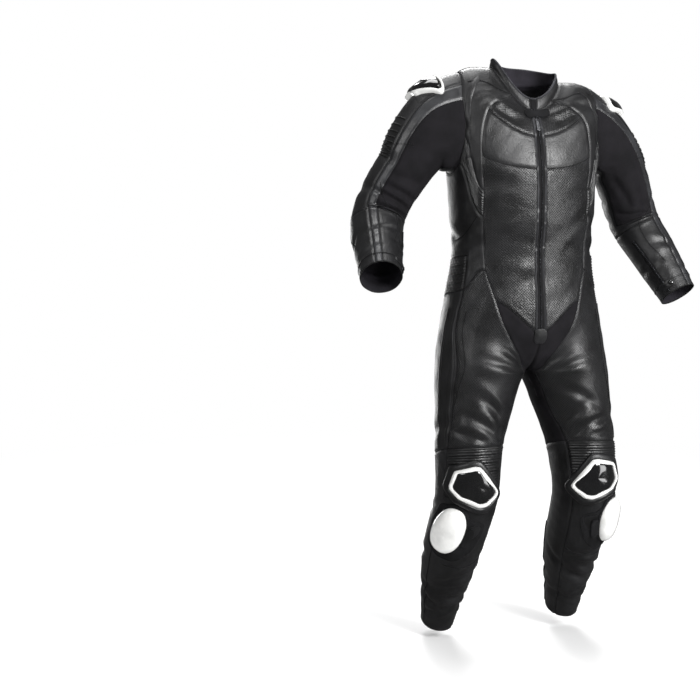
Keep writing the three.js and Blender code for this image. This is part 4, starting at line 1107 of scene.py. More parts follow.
def shellMesh(name, outer, corners, outward, wall, uv, gap):
    count = len(outer)
    inner = outer - outward * wall * mm
    edges = boundary(corners)
    rim = np.stack([edges[:, 1], edges[:, 0], edges[:, 0] + count, edges[:, 1] + count], axis=1)
    allFaces = np.concatenate([corners, corners[:, ::-1] + count, rim])
    mesh = newMesh(name, np.concatenate([outer, inner]), allFaces)
    rimUV = np.zeros((len(rim), 4, 2))
    writeLayer(mesh, "cloth", np.concatenate([uv, uv[:, ::-1], rimUV]))
    attribute = mesh.attributes.new("seamGap", "FLOAT", "POINT")
    attribute.data.foreach_set("value", np.concatenate([gap, np.full(count, 20.0)]).astype(np.float32))
    inside = np.zeros(len(allFaces), np.int32)
    inside[len(corners):2 * len(corners)] = 1
    mesh.polygons.foreach_set("material_index", inside)
    shadeByAngle(mesh, 60)
    return mesh


stitchRows = []  # (region, points, edges) of every topstitch line
panels = {}


def stitchLine(name, outer, corners, outward, offset):
    edges = boundary(corners)
    inward = np.zeros_like(outer)
    direction = unit(outer[edges[:, 1]] - outer[edges[:, 0]])
    sideways = np.cross(outward[edges[:, 0]] + outward[edges[:, 1]], direction)
    np.add.at(inward, edges[:, 0], unit(sideways))
    np.add.at(inward, edges[:, 1], unit(sideways))
    used, local = np.unique(edges, return_inverse=True)
    moved = outer[used] + unit(inward[used]) * offset * mm
    laid = []
    for point in moved:
        spot, normal, _, _ = cover.find_nearest(Vector(point))
        laid.append(spot + normal * 0.35 * mm)
    stitchRows.append((stitchRegion(name), np.array(laid), local.reshape(-1, 2)))


def stitchRegion(name):
    kind = panelKind(name)
    if kind in ("sleeve_outer", "sleeve_stripe", "forearm"):
        return "arms"
    if kind in ("knee_accordion", "shin", "calf_leather", "thigh_front", "hip_panel"):
        return "legs"
    return "back" if kind in ("back_centre", "back_stripe", "back_side", "lumbar_band", "seat",
                              "blade_accordion") else "front"


def makePanel(name):
    kind = panelKind(name)
    materialName, wall, slotName, rows = panelLooks.get(kind, plainLook)
    used, corners, uv, grid = panelArrays(name)
    outer, outward, gap = points[used], normals[used], seamGap[used]
    uv, area = flatPattern(outer, corners, uv)
    for offset in rows:
        stitchLine(name, outer, corners, outward, offset)
    if kind in ribLooks:
        outer, corners, layers, gap = refined(outer, corners, {"cloth": uv, "grid": grid}, gap, 5)
        uv, grid = layers["cloth"], layers["grid"]
        gridOf = np.zeros((len(outer), 2))
        gridOf[corners.ravel()] = grid.reshape(-1, 2)
        lift = ribHeight(ribLooks[kind], gridOf[:, 0], gridOf[:, 1]) * smooth(gap, 0.5, 4)
        outer = outer + pointNormals(outer, corners) * lift[:, None] * mm
        outward = pointNormals(outer, corners)
    mesh = shellMesh(name, outer, corners, outward, wall, uv, gap)
    panel = addObject(name + "_cloth", mesh, [materialName, "lining"], slotName)
    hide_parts(name)
    spans = uv.reshape(-1, 2)
    size = spans.max(axis=0) - spans.min(axis=0)
    if kind in ribLooks:
        size = size * [1, gatherShare]
        area = area * gatherShare
    cut = min(max(area, 0.31 * size[0] * size[1]), size[0] * size[1])
    panels[name] = panel


for name in pieceNames:
    makePanel(name)
print("panels made:", len(panels))


# Geometry node trees: a modifier's inputs are set by the identifier of the named socket
def nodeGroup(name, inputs):
    group = bpy.data.node_groups.new(name, "GeometryNodeTree")
    group.interface.new_socket("Geometry", in_out="INPUT", socket_type="NodeSocketGeometry")
    for label, kind, value in inputs:
        socket = group.interface.new_socket(label, in_out="INPUT", socket_type=kind)
        if value is not None:
            socket.default_value = value
    group.interface.new_socket("Geometry", in_out="OUTPUT", socket_type="NodeSocketGeometry")
    entry = group.nodes.new("NodeGroupInput")
    return group, entry


def closeGroup(group, entry, geometry):
    flat = addNode(group, "GeometryNodeSetShadeSmooth", {}, {"Geometry": geometry})
    coloured = addNode(group, "GeometryNodeSetMaterial", {},
                       {"Geometry": flat.outputs[0], "Material": entry.outputs["Material"]})
    addNode(group, "NodeGroupOutput", {}, {0: coloured.outputs[0]})


# Threads along a line: one stretched bead for each stitch
def stitchTree():
    group, entry = nodeGroup("stitches", [("Pitch", "NodeSocketFloat", 0.005),
                                          ("Length", "NodeSocketFloat", 0.003),
                                          ("Thread", "NodeSocketFloat", 0.001),
                                          ("Material", "NodeSocketMaterial", None)])
    curve = addNode(group, "GeometryNodeMeshToCurve", {}, {"Mesh": entry.outputs["Geometry"]})
    dots = addNode(group, "GeometryNodeCurveToPoints", {"mode": "LENGTH"},
                   {"Curve": curve.outputs[0], "Length": entry.outputs["Pitch"]})
    bead = addNode(group, "GeometryNodeMeshUVSphere", {}, {"Segments": 4, "Rings": 2, "Radius": 0.5})
    size = addNode(group, "ShaderNodeCombineXYZ", {}, {0: entry.outputs["Thread"], 1: entry.outputs["Thread"],
                                                       2: entry.outputs["Length"]})
    placed = addNode(group, "GeometryNodeInstanceOnPoints", {},
                     {"Points": dots.outputs["Points"], "Instance": bead.outputs["Mesh"],
                      "Rotation": dots.outputs["Rotation"], "Scale": size.outputs[0]})
    real = addNode(group, "GeometryNodeRealizeInstances", {}, {"Geometry": placed.outputs[0]})
    closeGroup(group, entry, real.outputs[0])
    return group


# A round cord along a line: piping, bindings and seam lines
def cordTree():
    group, entry = nodeGroup("cord", [("Radius", "NodeSocketFloat", 0.001), ("Sides", "NodeSocketInt", 6),
                                      ("Material", "NodeSocketMaterial", None)])
    curve = addNode(group, "GeometryNodeMeshToCurve", {}, {"Mesh": entry.outputs["Geometry"]})
    ring = addNode(group, "GeometryNodeCurvePrimitiveCircle", {},
                   {"Resolution": entry.outputs["Sides"], "Radius": entry.outputs["Radius"]})
    tube = addNode(group, "GeometryNodeCurveToMesh", {},
                   {"Curve": curve.outputs[0], "Profile Curve": ring.outputs[0], "Fill Caps": True})
    real = addNode(group, "GeometryNodeRealizeInstances", {}, {"Geometry": tube.outputs[0]})
    closeGroup(group, entry, real.outputs[0])
    return group


# Zip teeth: one row of small blocks across the line
def teethTree():
    group, entry = nodeGroup("teeth", [("Pitch", "NodeSocketFloat", 0.003),
                                       ("Size", "NodeSocketVector", (1, 1, 1)),
                                       ("Material", "NodeSocketMaterial", None)])
    curve = addNode(group, "GeometryNodeMeshToCurve", {}, {"Mesh": entry.outputs["Geometry"]})
    dots = addNode(group, "GeometryNodeCurveToPoints", {"mode": "LENGTH"},
                   {"Curve": curve.outputs[0], "Length": entry.outputs["Pitch"]})
    block = addNode(group, "GeometryNodeMeshCube", {}, {"Size": entry.outputs["Size"]})
    placed = addNode(group, "GeometryNodeInstanceOnPoints", {},
                     {"Points": dots.outputs["Points"], "Instance": block.outputs["Mesh"],
                      "Rotation": dots.outputs["Rotation"]})
    real = addNode(group, "GeometryNodeRealizeInstances", {}, {"Geometry": placed.outputs[0]})
    closeGroup(group, entry, real.outputs[0])
    return group


trees = {"stitches": stitchTree(), "cord": cordTree(), "teeth": teethTree()}


def grow(name, linePoints, lineEdges, treeName, values, materialName, slot, body="suit"):
    mesh = bpy.data.meshes.new(name + "_line")
    mesh.from_pydata(np.asarray(linePoints).tolist(), np.asarray(lineEdges).tolist(), [])
    carrier = bpy.data.objects.new(name + "_line", mesh)
    bpy.context.scene.collection.objects.link(carrier)
    modifier = carrier.modifiers.new("grow", "NODES")
    modifier.node_group = trees[treeName]
    identifiers = {item.name: item.identifier for item in trees[treeName].interface.items_tree
                   if item.in_out == "INPUT"}
    for label, value in {**values, "Material": materials[materialName]}.items():
        modifier[identifiers[label]] = value
    evaluated = carrier.evaluated_get(bpy.context.evaluated_depsgraph_get())
    result = bpy.data.meshes.new_from_object(evaluated)
    bpy.data.objects.remove(carrier)
    result.materials.clear()
    return addObject(name, result, [materialName], slot, body)


def joinLines(lines):
    allPoints, allEdges, count = [], [], 0
    for linePoints, lineEdges in lines:
        allPoints.append(np.asarray(linePoints))
        allEdges.append(np.asarray(lineEdges) + count)
        count += len(linePoints)
    return np.concatenate(allPoints), np.concatenate(allEdges)


# Topstitching, drawn at 5.2 mm a stitch where the real one is about 3.5 mm, so that it shows
stitchLook = {"Pitch": 5.2 * mm, "Length": 3.6 * mm, "Thread": 0.95 * mm}
for region in ("front", "back", "arms", "legs"):
    rows = [(line, edges) for place, line, edges in stitchRows if place == region]
    grow("topstitch_" + region, *joinLines(rows), "stitches", stitchLook, "thread", None)

# Seam lines: a thin dark cord at the bottom of every sewn valley, painted shade of the seam's groove
seamPoints, seamLocal = np.unique(sewnEdges, return_inverse=True)
grow("seam_lines", points[seamPoints] + normals[seamPoints] * 0.15 * mm, seamLocal.reshape(-1, 2), "cord",
     {"Radius": 0.55 * mm, "Sides": 4}, "seamShade", None)

# Bound edges of the cuffs, the leg hems and the collar
bindingLook = {"cuff": 1.7, "collar": 2.6}


def bindEdges():
    groups = {"collar_binding": [], "cuff_binding": []}
    for a, b in openEdges:
        groups["collar_binding" if placeOf[a][1] < 15 and not sleeveOf[a] else "cuff_binding"].append((a, b))
    for name, edges in groups.items():
        used, local = np.unique(np.array(edges), return_inverse=True)
        radius = bindingLook["collar" if name.startswith("collar") else "cuff"]
        inset = points[used] - normals[used] * 0.9 * mm
        grow(name, inset, local.reshape(-1, 2), "cord", {"Radius": radius * mm, "Sides": 8},
             "collarCloth" if name.startswith("collar") else "leather", "leather")


bindEdges()
print("stitches, seam lines and bindings made")


# Lines laid on the surface by pattern place
def laidPath(surfaceAt, knots, spacing=3.0):
    knots = np.array(knots, float)
    steps = np.linspace(0, len(knots) - 1, 40 * (len(knots) - 1) + 1)
    rows = {"step": np.arange(len(knots), dtype=float), "u": knots[:, 0], "v": knots[:, 1]}
    if len(knots) == 2:
        u, v = np.interp(steps, rows["step"], rows["u"]), np.interp(steps, rows["step"], rows["v"])
    else:
        u, v = read(rows, "step", "u", steps), read(rows, "step", "v", steps)
    line = surfaceAt(u, v) * mm
    length = np.concatenate([[0], np.cumsum(np.linalg.norm(np.diff(line, axis=0), axis=1))])
    count = max(3, int(length[-1] / (spacing * mm)))
    at = np.linspace(0, length[-1], count)
    line = np.stack([np.interp(at, length, line[:, i]) for i in range(3)], axis=1)
    return layOn(line)


def layOn(line):
    laid, facing = [], []
    for point in line:
        spot, normal, _, _ = cover.find_nearest(Vector(point))
        laid.append(spot)
        facing.append(normal)
    facing = np.array(facing)
    for _ in range(2):
        facing[1:-1] = unit(facing[:-2] + facing[1:-1] * 2 + facing[2:])
    return np.array(laid), facing


def bodyAt(side):
    return lambda u, v: bodySurface(side, u, v)


def sleeveAt(side):
    return lambda u, v: sleeveSurface(side, u, v)


def sweepArrays(line, facing, profile):
    tangent = np.gradient(line, axis=0)
    across = unit(np.cross(facing, tangent))
    rings = [line + across * x * mm + facing * z * mm for x, z in profile]
    stack = np.stack(rings, axis=1)
    count, width = stack.shape[:2]
    quads = []
    for i in range(count - 1):
        for j in range(width):
            k = (j + 1) % width
            quads.append([i * width + j, i * width + k, (i + 1) * width + k, (i + 1) * width + j])
    ends = [list(range(width))[::-1], [(count - 1) * width + j for j in range(width)]]
    return stack.reshape(-1, 3), quads, ends


def combine(parts):
    allPoints, allFaces, count = [], [], 0
    for partPoints, partFaces in parts:
        allPoints.append(partPoints)
        allFaces += [[index + count for index in face] for face in partFaces]
        count += len(partPoints)
    return np.concatenate(allPoints), allFaces


def stripPiece(name, paths, profile, materialName, slot, body="suit", angle=40):
    parts = []
    for line, facing in paths:
        partPoints, quads, ends = sweepArrays(line, facing, profile)
        parts.append((partPoints, quads + ends))
    allPoints, allFaces = combine(parts)
    mesh = newMesh(name, allPoints, allFaces)
    facesOutward(mesh)
    planarUV(mesh)
    shadeByAngle(mesh, angle)
    return addObject(name, mesh, [materialName], slot, body)


def facesOutward(mesh):
    work = bmesh.new()
    work.from_mesh(mesh)
    bmesh.ops.recalc_face_normals(work, faces=work.faces)
    work.to_mesh(mesh)
    work.free()


# Cloth coordinates of a small piece: its own x and height in metres
def planarUV(mesh):
    spots = readPoints(mesh)
    corner = np.zeros(len(mesh.loops), int)
    mesh.loops.foreach_get("vertex_index", corner)
    writeLayer(mesh, "cloth", spots[corner][:, [0, 2]])
    attribute = mesh.attributes.new("seamGap", "FLOAT", "POINT")
    attribute.data.foreach_set("value", np.full(len(spots), 20.0, np.float32))


def bandProfile(width, lift):
    half = width / 2
    return [(-half, -0.6), (-half, lift * 0.5), (-half * 0.72, lift), (half * 0.72, lift), (half, lift * 0.5),
            (half, -0.6)]


def lineOf(paths):
    lines = []
    for line, facing in paths:
        edges = np.stack([np.arange(len(line) - 1), np.arange(1, len(line))], axis=1)
        lines.append((line + facing * 0.4 * mm, edges))
    return joinLines(lines)


# Front zip: bound edges beside the tape, in the lighter leather as a painted highlight, and one row of teeth
zipLook = {"from": 22, "to": 588, "edgeWidth": 6.5, "edgeLift": 2.2, "pitch": 3.4, "tooth": (2.0, 5.0, 1.6),
           "edgeShares": ([20, 120, 230, 340, 450, 590], [0.026, 0.0165, 0.0165, 0.0168, 0.017, 0.0165])}


def makeFrontZip():
    look = zipLook
    steps = [look["from"], 120, 230, 340, 450, look["to"]]
    shareAt = lambda drop: float(np.interp(drop, *look["edgeShares"]))
    paths = [laidPath(bodyAt(side), [(shareAt(v), v) for v in steps]) for side in (1, -1)]
    profile = bandProfile(look["edgeWidth"], look["edgeLift"])
    # Painted highlight: the bound edges are drawn in the lighter leather for the light they catch
    stripPiece("zip_bound_edges", paths, profile, "stripe", "leather")
    middle = laidPath(bodyAt(1), [(0.0, v) for v in steps], 2.0)
    size = [value * mm for value in look["tooth"]]
    grow("front_zip_teeth", *lineOf([(middle[0] + middle[1] * 0.5 * mm, middle[1])]), "teeth",
         {"Pitch": look["pitch"] * mm, "Size": size}, "zipTeeth", "zip_metal")


makeFrontZip()


# Narrow double-stitched strips and decorative seams, by pattern place (share of the half, drop)
def mirroredPaths(knots, sides=(1, -1)):
    return [laidPath(bodyAt(side), knots) for side in sides]


strips = {
    "chest_band_strip": {"width": 2.0, "lift": 0.9, "knots": [[(0.02, 221), (0.13, 226), (0.25, 236)],
                                                             [(0.02, 203), (0.13, 205), (0.24, 208)]]},
    "hip_strip": {"width": 11.0, "lift": 1.7,
                  "knots": [[(0.4, 520), (0.412, 640), (0.42, 780), (0.43, 868)],
                            [(0.47, 528), (0.475, 640), (0.48, 780), (0.485, 872)]]},
    "back_slant_strip": {"width": 5.0, "lift": 1.5, "knots": [[(0.69, 150), (0.78, 270), (0.88, 420)]]},
    "arm_front_strip": {"width": 12.0, "lift": 1.5,
                        "knots": [[(0.355, 74), (0.33, 110), (0.318, 150), (0.326, 190)]]},
}


def makeStrips():
    for name, look in strips.items():
        paths = []
        for knots in look["knots"]:
            paths += mirroredPaths(knots)
        stripPiece(name, paths, bandProfile(look["width"], look["lift"]), "leather", "leather")


makeStrips()

# Sewn lines inside a panel: a thin dark cord, painted shade of the seam's groove, with a thread row at each
# side
sewnLines = {
    "back_seam_low": [(0.8, 398), (0.86, 412), (0.93, 418), (1.0, 419)],
    "seat_seam": [(0.62, 566), (0.68, 600), (0.72, 640), (0.73, 690)],
    "back_thigh_seam": [(0.6, 812), (0.68, 822), (0.76, 818), (0.85, 806)],
    "tail_patch_side": [(0.93, 552), (0.925, 610), (0.945, 650), (1.0, 664)],
    "yoke_front": [(0.21, 24), (0.27, 50), (0.33, 72), (0.372, 98)],
    "yoke_rear": [(0.5, 24), (0.5, 60), (0.5, 92)],
    "hip_front": [(0.33, 532), (0.345, 600), (0.37, 700), (0.4, 800)],
    "shin_front": [(0.44, 1060), (0.445, 1150), (0.45, 1250), (0.455, 1352)],
    "shin_low": [(0.13, 1136), (0.24, 1148), (0.36, 1150)],
    "side_low": [(0.3, 300), (0.36, 330), (0.42, 350), (0.5, 360)],
}
sleeveLines = {
    "elbow_curve": [(0.36, 216), (0.3, 262), (0.22, 316), (0.2, 380), (0.24, 452)],
    "elbow_back": [(0.5, 190), (0.6, 240), (0.64, 300), (0.6, 380), (0.52, 450)],
    "cuff_line": [(0.02, 500), (0.25, 500), (0.5, 500), (0.75, 500), (0.98, 500)],
    "cup_line": [(0.3, 118), (0.42, 132), (0.5, 136), (0.6, 132), (0.7, 118)],
}


def makeSewnLines():
    paths = []
    for knots in sewnLines.values():
        paths += mirroredPaths(knots)
    paths.append(laidPath(bodyAt(1), [(1.0, 150), (1.0, 250), (1.0, 350), (1.0, 428)]))
    paths.append(laidPath(bodyAt(1), [(1.0, 548), (1.0, 600), (1.0, 664)]))
    for knots in sleeveLines.values():
        paths += [laidPath(sleeveAt(side), knots) for side in (1, -1)]
    shifted = [(line + facing * 0.1 * mm, facing) for line, facing in paths]
    grow("inner_seam_lines", *lineOf(shifted), "cord", {"Radius": 0.75 * mm, "Sides": 5}, "seamShade", None)
    rows = []
    for line, facing in paths:
        across = unit(np.cross(facing, np.gradient(line, axis=0)))
        for offset in (2.8, -2.8):
            rows.append(layOn(line + across * offset * mm))
    grow("topstitch_inner", *lineOf(rows), "stitches", stitchLook, "thread", None)


makeSewnLines()

# Ribs behind the upper arm: raised leather cords round the sleeve, below the shoulder cup
armRibs = {"from": 103, "pitch": 6.6, "count": 9, "radius": 2.6, "span": (0.41, 0.66)}


def makeArmRibs():
    look = armRibs
    paths = []
    for side in (1, -1):
        for i in range(look["count"]):
            along = look["from"] + look["pitch"] * i
            start, end = look["span"]
            knots = [(start, along), ((start + end) / 2, along + 2), (end, along)]
            line, facing = laidPath(sleeveAt(side), knots, 5.0)
            paths.append((line - facing * 1.0 * mm, facing))
    values = {"Radius": look["radius"] * mm, "Sides": 10}
    grow("arm_ribs", *lineOf(paths), "cord", values, "ribbed", "leather")


makeArmRibs()
print("zip, strips and sewn lines made")


# Spots: places in millimetres round a point of the surface, x to the right and y up, seen from outside
def bodySpot(side, share, drop, turn=0):
    surfaceAt = bodyAt(side)
    scaleU = np.linalg.norm(surfaceAt(share + 0.01, drop) - surfaceAt(share - 0.01, drop), axis=-1) / 0.02
    scaleV = np.linalg.norm(surfaceAt(share, drop + 5) - surfaceAt(share, drop - 5), axis=-1) / 10
    return spotOn(surfaceAt, side, share, drop, scaleU, scaleV, turn)


def sleeveSpot(side, around, along, girth, turn=0):
    return spotOn(sleeveAt(side), side, around, along, girth, 1.0, turn)


def spotOn(surfaceAt, side, share, drop, scaleU, scaleV, turn):
    angle = math.radians(turn)

    def spot(x, y, lift):
        x, y, lift = np.broadcast_arrays(np.asarray(x, float), y, lift)
        turnedX = x * math.cos(angle) - y * math.sin(angle)
        turnedY = x * math.sin(angle) + y * math.cos(angle)
        u = share + side * turnedX / scaleU
        v = drop - turnedY / scaleV
        du = surfaceAt(u + 0.008, v) - surfaceAt(u - 0.008, v)
        dv = surfaceAt(u, v + 3) - surfaceAt(u, v - 3)
        normal = unit(np.cross(dv, du)) * side
        return (surfaceAt(u, v) + normal * lift[..., None]) * mm

    return spot


def roundOutline(halfWide, halfHigh, power):
    def outline(angle):
        c, s = math.cos(angle), math.sin(angle)
        return (halfWide * math.copysign(abs(c) ** power, c), halfHigh * math.copysign(abs(s) ** power, s))
    return outline


# Outline through given corners, rounded by averaging neighbouring directions
def cornerOutline(corners, softness=9, mirror=1):
    loop = np.array([(x * mirror, y) for x, y in corners], float)
    closed = np.concatenate([loop, loop[:1]])

    def reach(angle):
        ray = np.array([math.cos(angle), math.sin(angle)])
        best = 0
        for a, b in zip(closed[:-1], closed[1:]):
            edge = b - a
            turn = ray[0] * edge[1] - ray[1] * edge[0]
            if abs(turn) < 1e-9:
                continue
            t = (a[0] * edge[1] - a[1] * edge[0]) / turn
            s = (a[0] * ray[1] - a[1] * ray[0]) / turn
            if t > 0 and -1e-6 <= s <= 1 + 1e-6:
                best = max(best, t)
        return best

    reaches = np.array([reach(math.radians(degree)) for degree in range(360)])
    window = np.arange(-softness, softness + 1)
    soft = np.array([reaches[(degree + window) % 360].mean() for degree in range(360)])

    def outline(angle):
        length = float(np.interp(math.degrees(angle) % 360, range(361), np.append(soft, soft[0])))
        return length * math.cos(angle), length * math.sin(angle)

    return outline


# Closed dome over an outline: rings are (share of the outline, lift)
def domeArrays(spot, outline, rings, steps=64, floor=-1.5):
    profile = np.array(list(rings) + [(1.0, floor)])
    loop = np.array([outline(2 * math.pi * i / steps) for i in range(steps)])
    share, lift = profile[:, :1], profile[:, 1:]
    wall = spot(loop[:, 0] * share, loop[:, 1] * share, lift)
    spots = np.concatenate([wall.reshape(-1, 3), [spot(0, 0, rings[0][1]), spot(0, 0, floor)]])
    crown = len(profile) * steps
    last = crown - steps
    faceList = []
    for i in range(steps):
        k = (i + 1) % steps
        faceList.append([crown, i, k])
        faceList.append([crown + 1, last + k, last + i])
        for a in range(0, last, steps):
            faceList.append([a + i, a + steps + i, a + steps + k, a + k])
    return spots, faceList


# Closed ring along an outline: profile is a loop of (inset from the outline in mm, lift)
def ringArrays(spot, outline, profile, steps=96):
    loop = np.array([outline(2 * math.pi * i / steps) for i in range(steps)])
    length = np.linalg.norm(loop, axis=1, keepdims=True)
    inset, lift = np.array(profile, float).T
    share = 1 - inset / length
    spots = spot(loop[:, :1] * share, loop[:, 1:] * share, lift).reshape(-1, 3)
    width = len(profile)
    faceList = []
    for i in range(steps):
        k = (i + 1) % steps
        for j in range(width):
            m = (j + 1) % width
            faceList.append([i * width + j, i * width + m, k * width + m, k * width + j])
    return spots, faceList


def solidPiece(name, arrays, materialName, slot, angle=35, body="suit"):
    mesh = newMesh(name, *arrays)
    facesOutward(mesh)
    planarUV(mesh)
    shadeByAngle(mesh, angle)
    return addObject(name, mesh, [materialName], slot, body)


# Knee cups: a white frame round a glossy black window, in a padded leather surround
kneeCup = {
    "drop": 956, "share": {1: 0.24, -1: 0.275},
    "corners": [(-48, 37), (-4, 48), (8, 47), (58, -15), (61, -22), (54, -32), (30, -50), (12, -52),
                (-38, -33), (-60, -10), (-61, -2)],
    "frame": [(0, 2), (-0.5, 8), (2.5, 12.5), (6.5, 14.5), (9.5, 13.4), (10.5, 8)],
    "window": [(0.0, 13.0), (0.4, 12.8), (0.62, 12.4), (0.78, 11.6), (0.86, 9.6)], "windowScale": 0.86,
    "surround": [(0, 5.2), (0.72, 5.6), (0.8, 9.4), (0.9, 9.0), (0.96, 6.6), (1.0, 2.6)],
    "surroundScale": 1.36,
}


def makeKneeCup(side, ending):
    look = kneeCup
    spot = bodySpot(side, look["share"][side], look["drop"])
    outline = cornerOutline(look["corners"], 4, mirror=-side)
    wide = lambda angle: tuple(value * look["surroundScale"] for value in outline(angle))
    ring = ringArrays(spot, outline, look["frame"])
    frameRing = solidPiece("knee_frame" + ending, ring, "whitePlastic", "cup")
    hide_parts("knee_cup" + ending)
    window = lambda angle: tuple(value * look["windowScale"] for value in outline(angle))
    rings = [(share / look["windowScale"], lift) for share, lift in look["window"]]
    solidPiece("knee_window" + ending, domeArrays(spot, window, rings, 72, 2.0), "blackPlastic", "cup")
    solidPiece("knee_surround" + ending, domeArrays(spot, wide, look["surround"], 72), "leather", "leather")


# Sliders: a thick white oval puck with a domed face on a dark base, over a loop patch with two pull tabs
kneeSlider = {
    "drop": 1060, "share": {1: 0.368, -1: 0.376}, "turn": 8, "halfWide": 42, "halfHigh": 68,
    "rings": [(0.0, 25.4), (0.3, 25.0), (0.52, 24.0), (0.7, 21.8), (0.84, 17.6), (0.94, 11.8), (1.0, 5.6)],
    "base": [(0.0, 3.0), (0.8, 3.0), (0.97, 2.8), (1.0, 1.4)], "baseScale": 1.14,
    "patch": [(-50, 66), (0, 72), (62, 40), (92, 48), (96, 6), (84, -40), (50, -84), (-6, -92), (-52, -76),
              (-62, 0)],
    "tab": {"place": (56, -4), "halfWide": 11, "halfHigh": 27, "lift": 4.6},
    "lowTab": {"place": (-2, -70), "halfWide": 21, "halfHigh": 10, "lift": 5.0},
}


def shiftedSpot(spot, x0, y0):
    return lambda x, y, lift: spot(x + x0, y + y0, lift)


def makeSlider(side, ending):
    look = kneeSlider
    spot = bodySpot(side, look["share"][side], look["drop"], side * look["turn"])
    oval = roundOutline(look["halfWide"], look["halfHigh"], 0.88)
    puck = solidPiece("slider_puck" + ending, domeArrays(spot, oval, look["rings"], 80, 1.0),
                      "whitePlastic", "slider", 25)
    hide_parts("knee_slider" + ending)
    wide = lambda angle: tuple(value * look["baseScale"] for value in oval(angle))
    solidPiece("slider_base" + ending, domeArrays(spot, wide, look["base"], 72), "hookLoop", "slider")
    patch = cornerOutline(look["patch"], 7, mirror=-side)
    flat = [(0, 1.6), (0.5, 1.6), (0.97, 1.6), (1.0, 0.9)]
    solidPiece("loop_patch" + ending, domeArrays(spot, patch, flat, 90), "hookLoop", "stretch")
    for label, mirror in (("tab", -side), ("lowTab", 1)):
        tab = look[label]
        place = shiftedSpot(spot, tab["place"][0] * mirror, tab["place"][1])
        outline = roundOutline(tab["halfWide"], tab["halfHigh"], 0.6)
        rings = [(0, tab["lift"]), (0.8, tab["lift"]), (0.96, tab["lift"] - 0.4), (1.0, tab["lift"] - 1.2)]
        name = "slider_" + label.lower() + ending
        solidPiece(name, domeArrays(place, outline, rings, 40), "hookLoop", "stretch")


# Shoulder cups: the same frame and window over the top of the sleeve
shoulderCup = {
    "around": 0.5, "along": 80, "girth": 470,
    "corners": [(62, 30), (58, 22), (42, 8), (19, -4), (0, -5), (-24, -8), (-42, -8), (-52, 4), (-52, 22),
                (-40, 30), (0, 33), (50, 34)],
    "frame": [(0, -1.5), (0, 7), (2, 10.6), (5, 12.2), (8.4, 11.4), (9.0, 5)],
    "window": [(0.0, 17.6), (0.4, 17.0), (0.7, 15.0), (0.95, 11.8), (1.0, 9.5)], "windowScale": 0.74,
}


def makeShoulderCup(side, ending):
    look = shoulderCup
    spot = sleeveSpot(side, look["around"], look["along"], look["girth"])
    outline = cornerOutline(look["corners"], 4, mirror=-side)
    ring = ringArrays(spot, outline, look["frame"])
    frameRing = solidPiece("shoulder_frame" + ending, ring, "whitePlastic", "cup")
    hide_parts("shoulder_cup" + ending)
    inner = lambda angle: tuple(value * look["windowScale"] for value in outline(angle))
    dome = domeArrays(spot, inner, look["window"], 64, 1.0)
    solidPiece("shoulder_window" + ending, dome, "blackPlastic", "cup")


for side, ending in ((1, "_left"), (-1, "_right")):
    makeKneeCup(side, ending)
    makeSlider(side, ending)
    makeShoulderCup(side, ending)
print("cups and sliders made")

# Hump: rows run from the collar to the tip; each row has its half width and the heights of its facets
hump = {
    "drops": [24, 44, 70, 100, 132, 164, 194, 214],
    "halfWide": [80, 92, 96, 90, 76, 56, 34, 20],
    "ridge": [22, 38, 44, 44, 40, 34, 27, 12],
    "across": [-1.0, -0.97, -0.72, -0.44, -0.36, 0.0, 0.36, 0.44, 0.72, 0.97, 1.0],
    "heights": [-0.1, 0.1, 0.6, 0.9, 0.97, 1.0, 0.97, 0.9, 0.6, 0.1, -0.1],
}


def makeHump():
    look = hump
    drops = np.linspace(look["drops"][0], look["drops"][-1], 46)
    rows = {"drop": np.array(look["drops"], float), "wide": np.array(look["halfWide"], float),
            "ridge": np.array(look["ridge"], float)}
    across = np.unique(np.concatenate([look["across"], np.linspace(-1, 1, 33)]))
    heights = np.interp(across, look["across"], look["heights"])
    wide, ridge = (read(rows, "drop", name, drops)[:, None] for name in ("wide", "ridge"))
    spot = bodySpot(1, 1.0, drops[:, None])
    spots = np.concatenate([spot(across * wide, 0, heights * ridge).reshape(-1, 3),
                            spot(across * wide, 0, -3.0).reshape(-1, 3)])
    width = len(across)
    top = len(drops) * width
    quads = []
    for i in range(len(drops) - 1):
        for j in range(width - 1):
            a = i * width + j
            quads.append([a, a + width, a + width + 1, a + 1])
            quads.append([top + a, top + a + 1, top + a + width + 1, top + a + width])
    rim = [i * width for i in range(len(drops))]
    rim += [(len(drops) - 1) * width + j for j in range(1, width)]
    rim += [i * width + width - 1 for i in range(len(drops) - 2, -1, -1)]
    rim += [j for j in range(width - 2, 0, -1)]
    for a, b in zip(rim, rim[1:] + rim[:1]):
        quads.append([a, b, top + b, top + a])
    shell = solidPiece("aero_hump", (spots, quads), "humpLeather", "leather", 14)
    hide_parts("hump")
    return rows


def makeHumpLines(rows):
    drops = np.linspace(28, 208, 60)
    wide, ridge = (read(rows, "drop", name, drops) for name in ("wide", "ridge"))
    spot = bodySpot(1, 1.0, drops)
    onHump = lambda share: spot(share * wide, 0, np.interp(share, hump["across"], hump["heights"]) * ridge)
    lines = (("hump_piping", 0.4, 2.6, "seamShade"), ("hump_inset", 0.84, 13, "stretch"))
    for name, share, width, materialName in lines:
        paths = []
        for side in (1, -1):
            line = onHump(side * share)
            chord = onHump(side * (share + 0.05)) - onHump(side * (share - 0.05))
            normal = unit(np.cross(chord, np.gradient(line, axis=0)))
            paths.append((line, normal * np.sign((normal * spotOutward(line)).sum(axis=1, keepdims=True))))
        stripPiece(name, paths, bandProfile(width, 0.7), materialName, "leather")


def spotOutward(line):
    centre = np.array([0, 20, -100]) * mm
    return unit(line - centre)


makeHumpLines(makeHump())


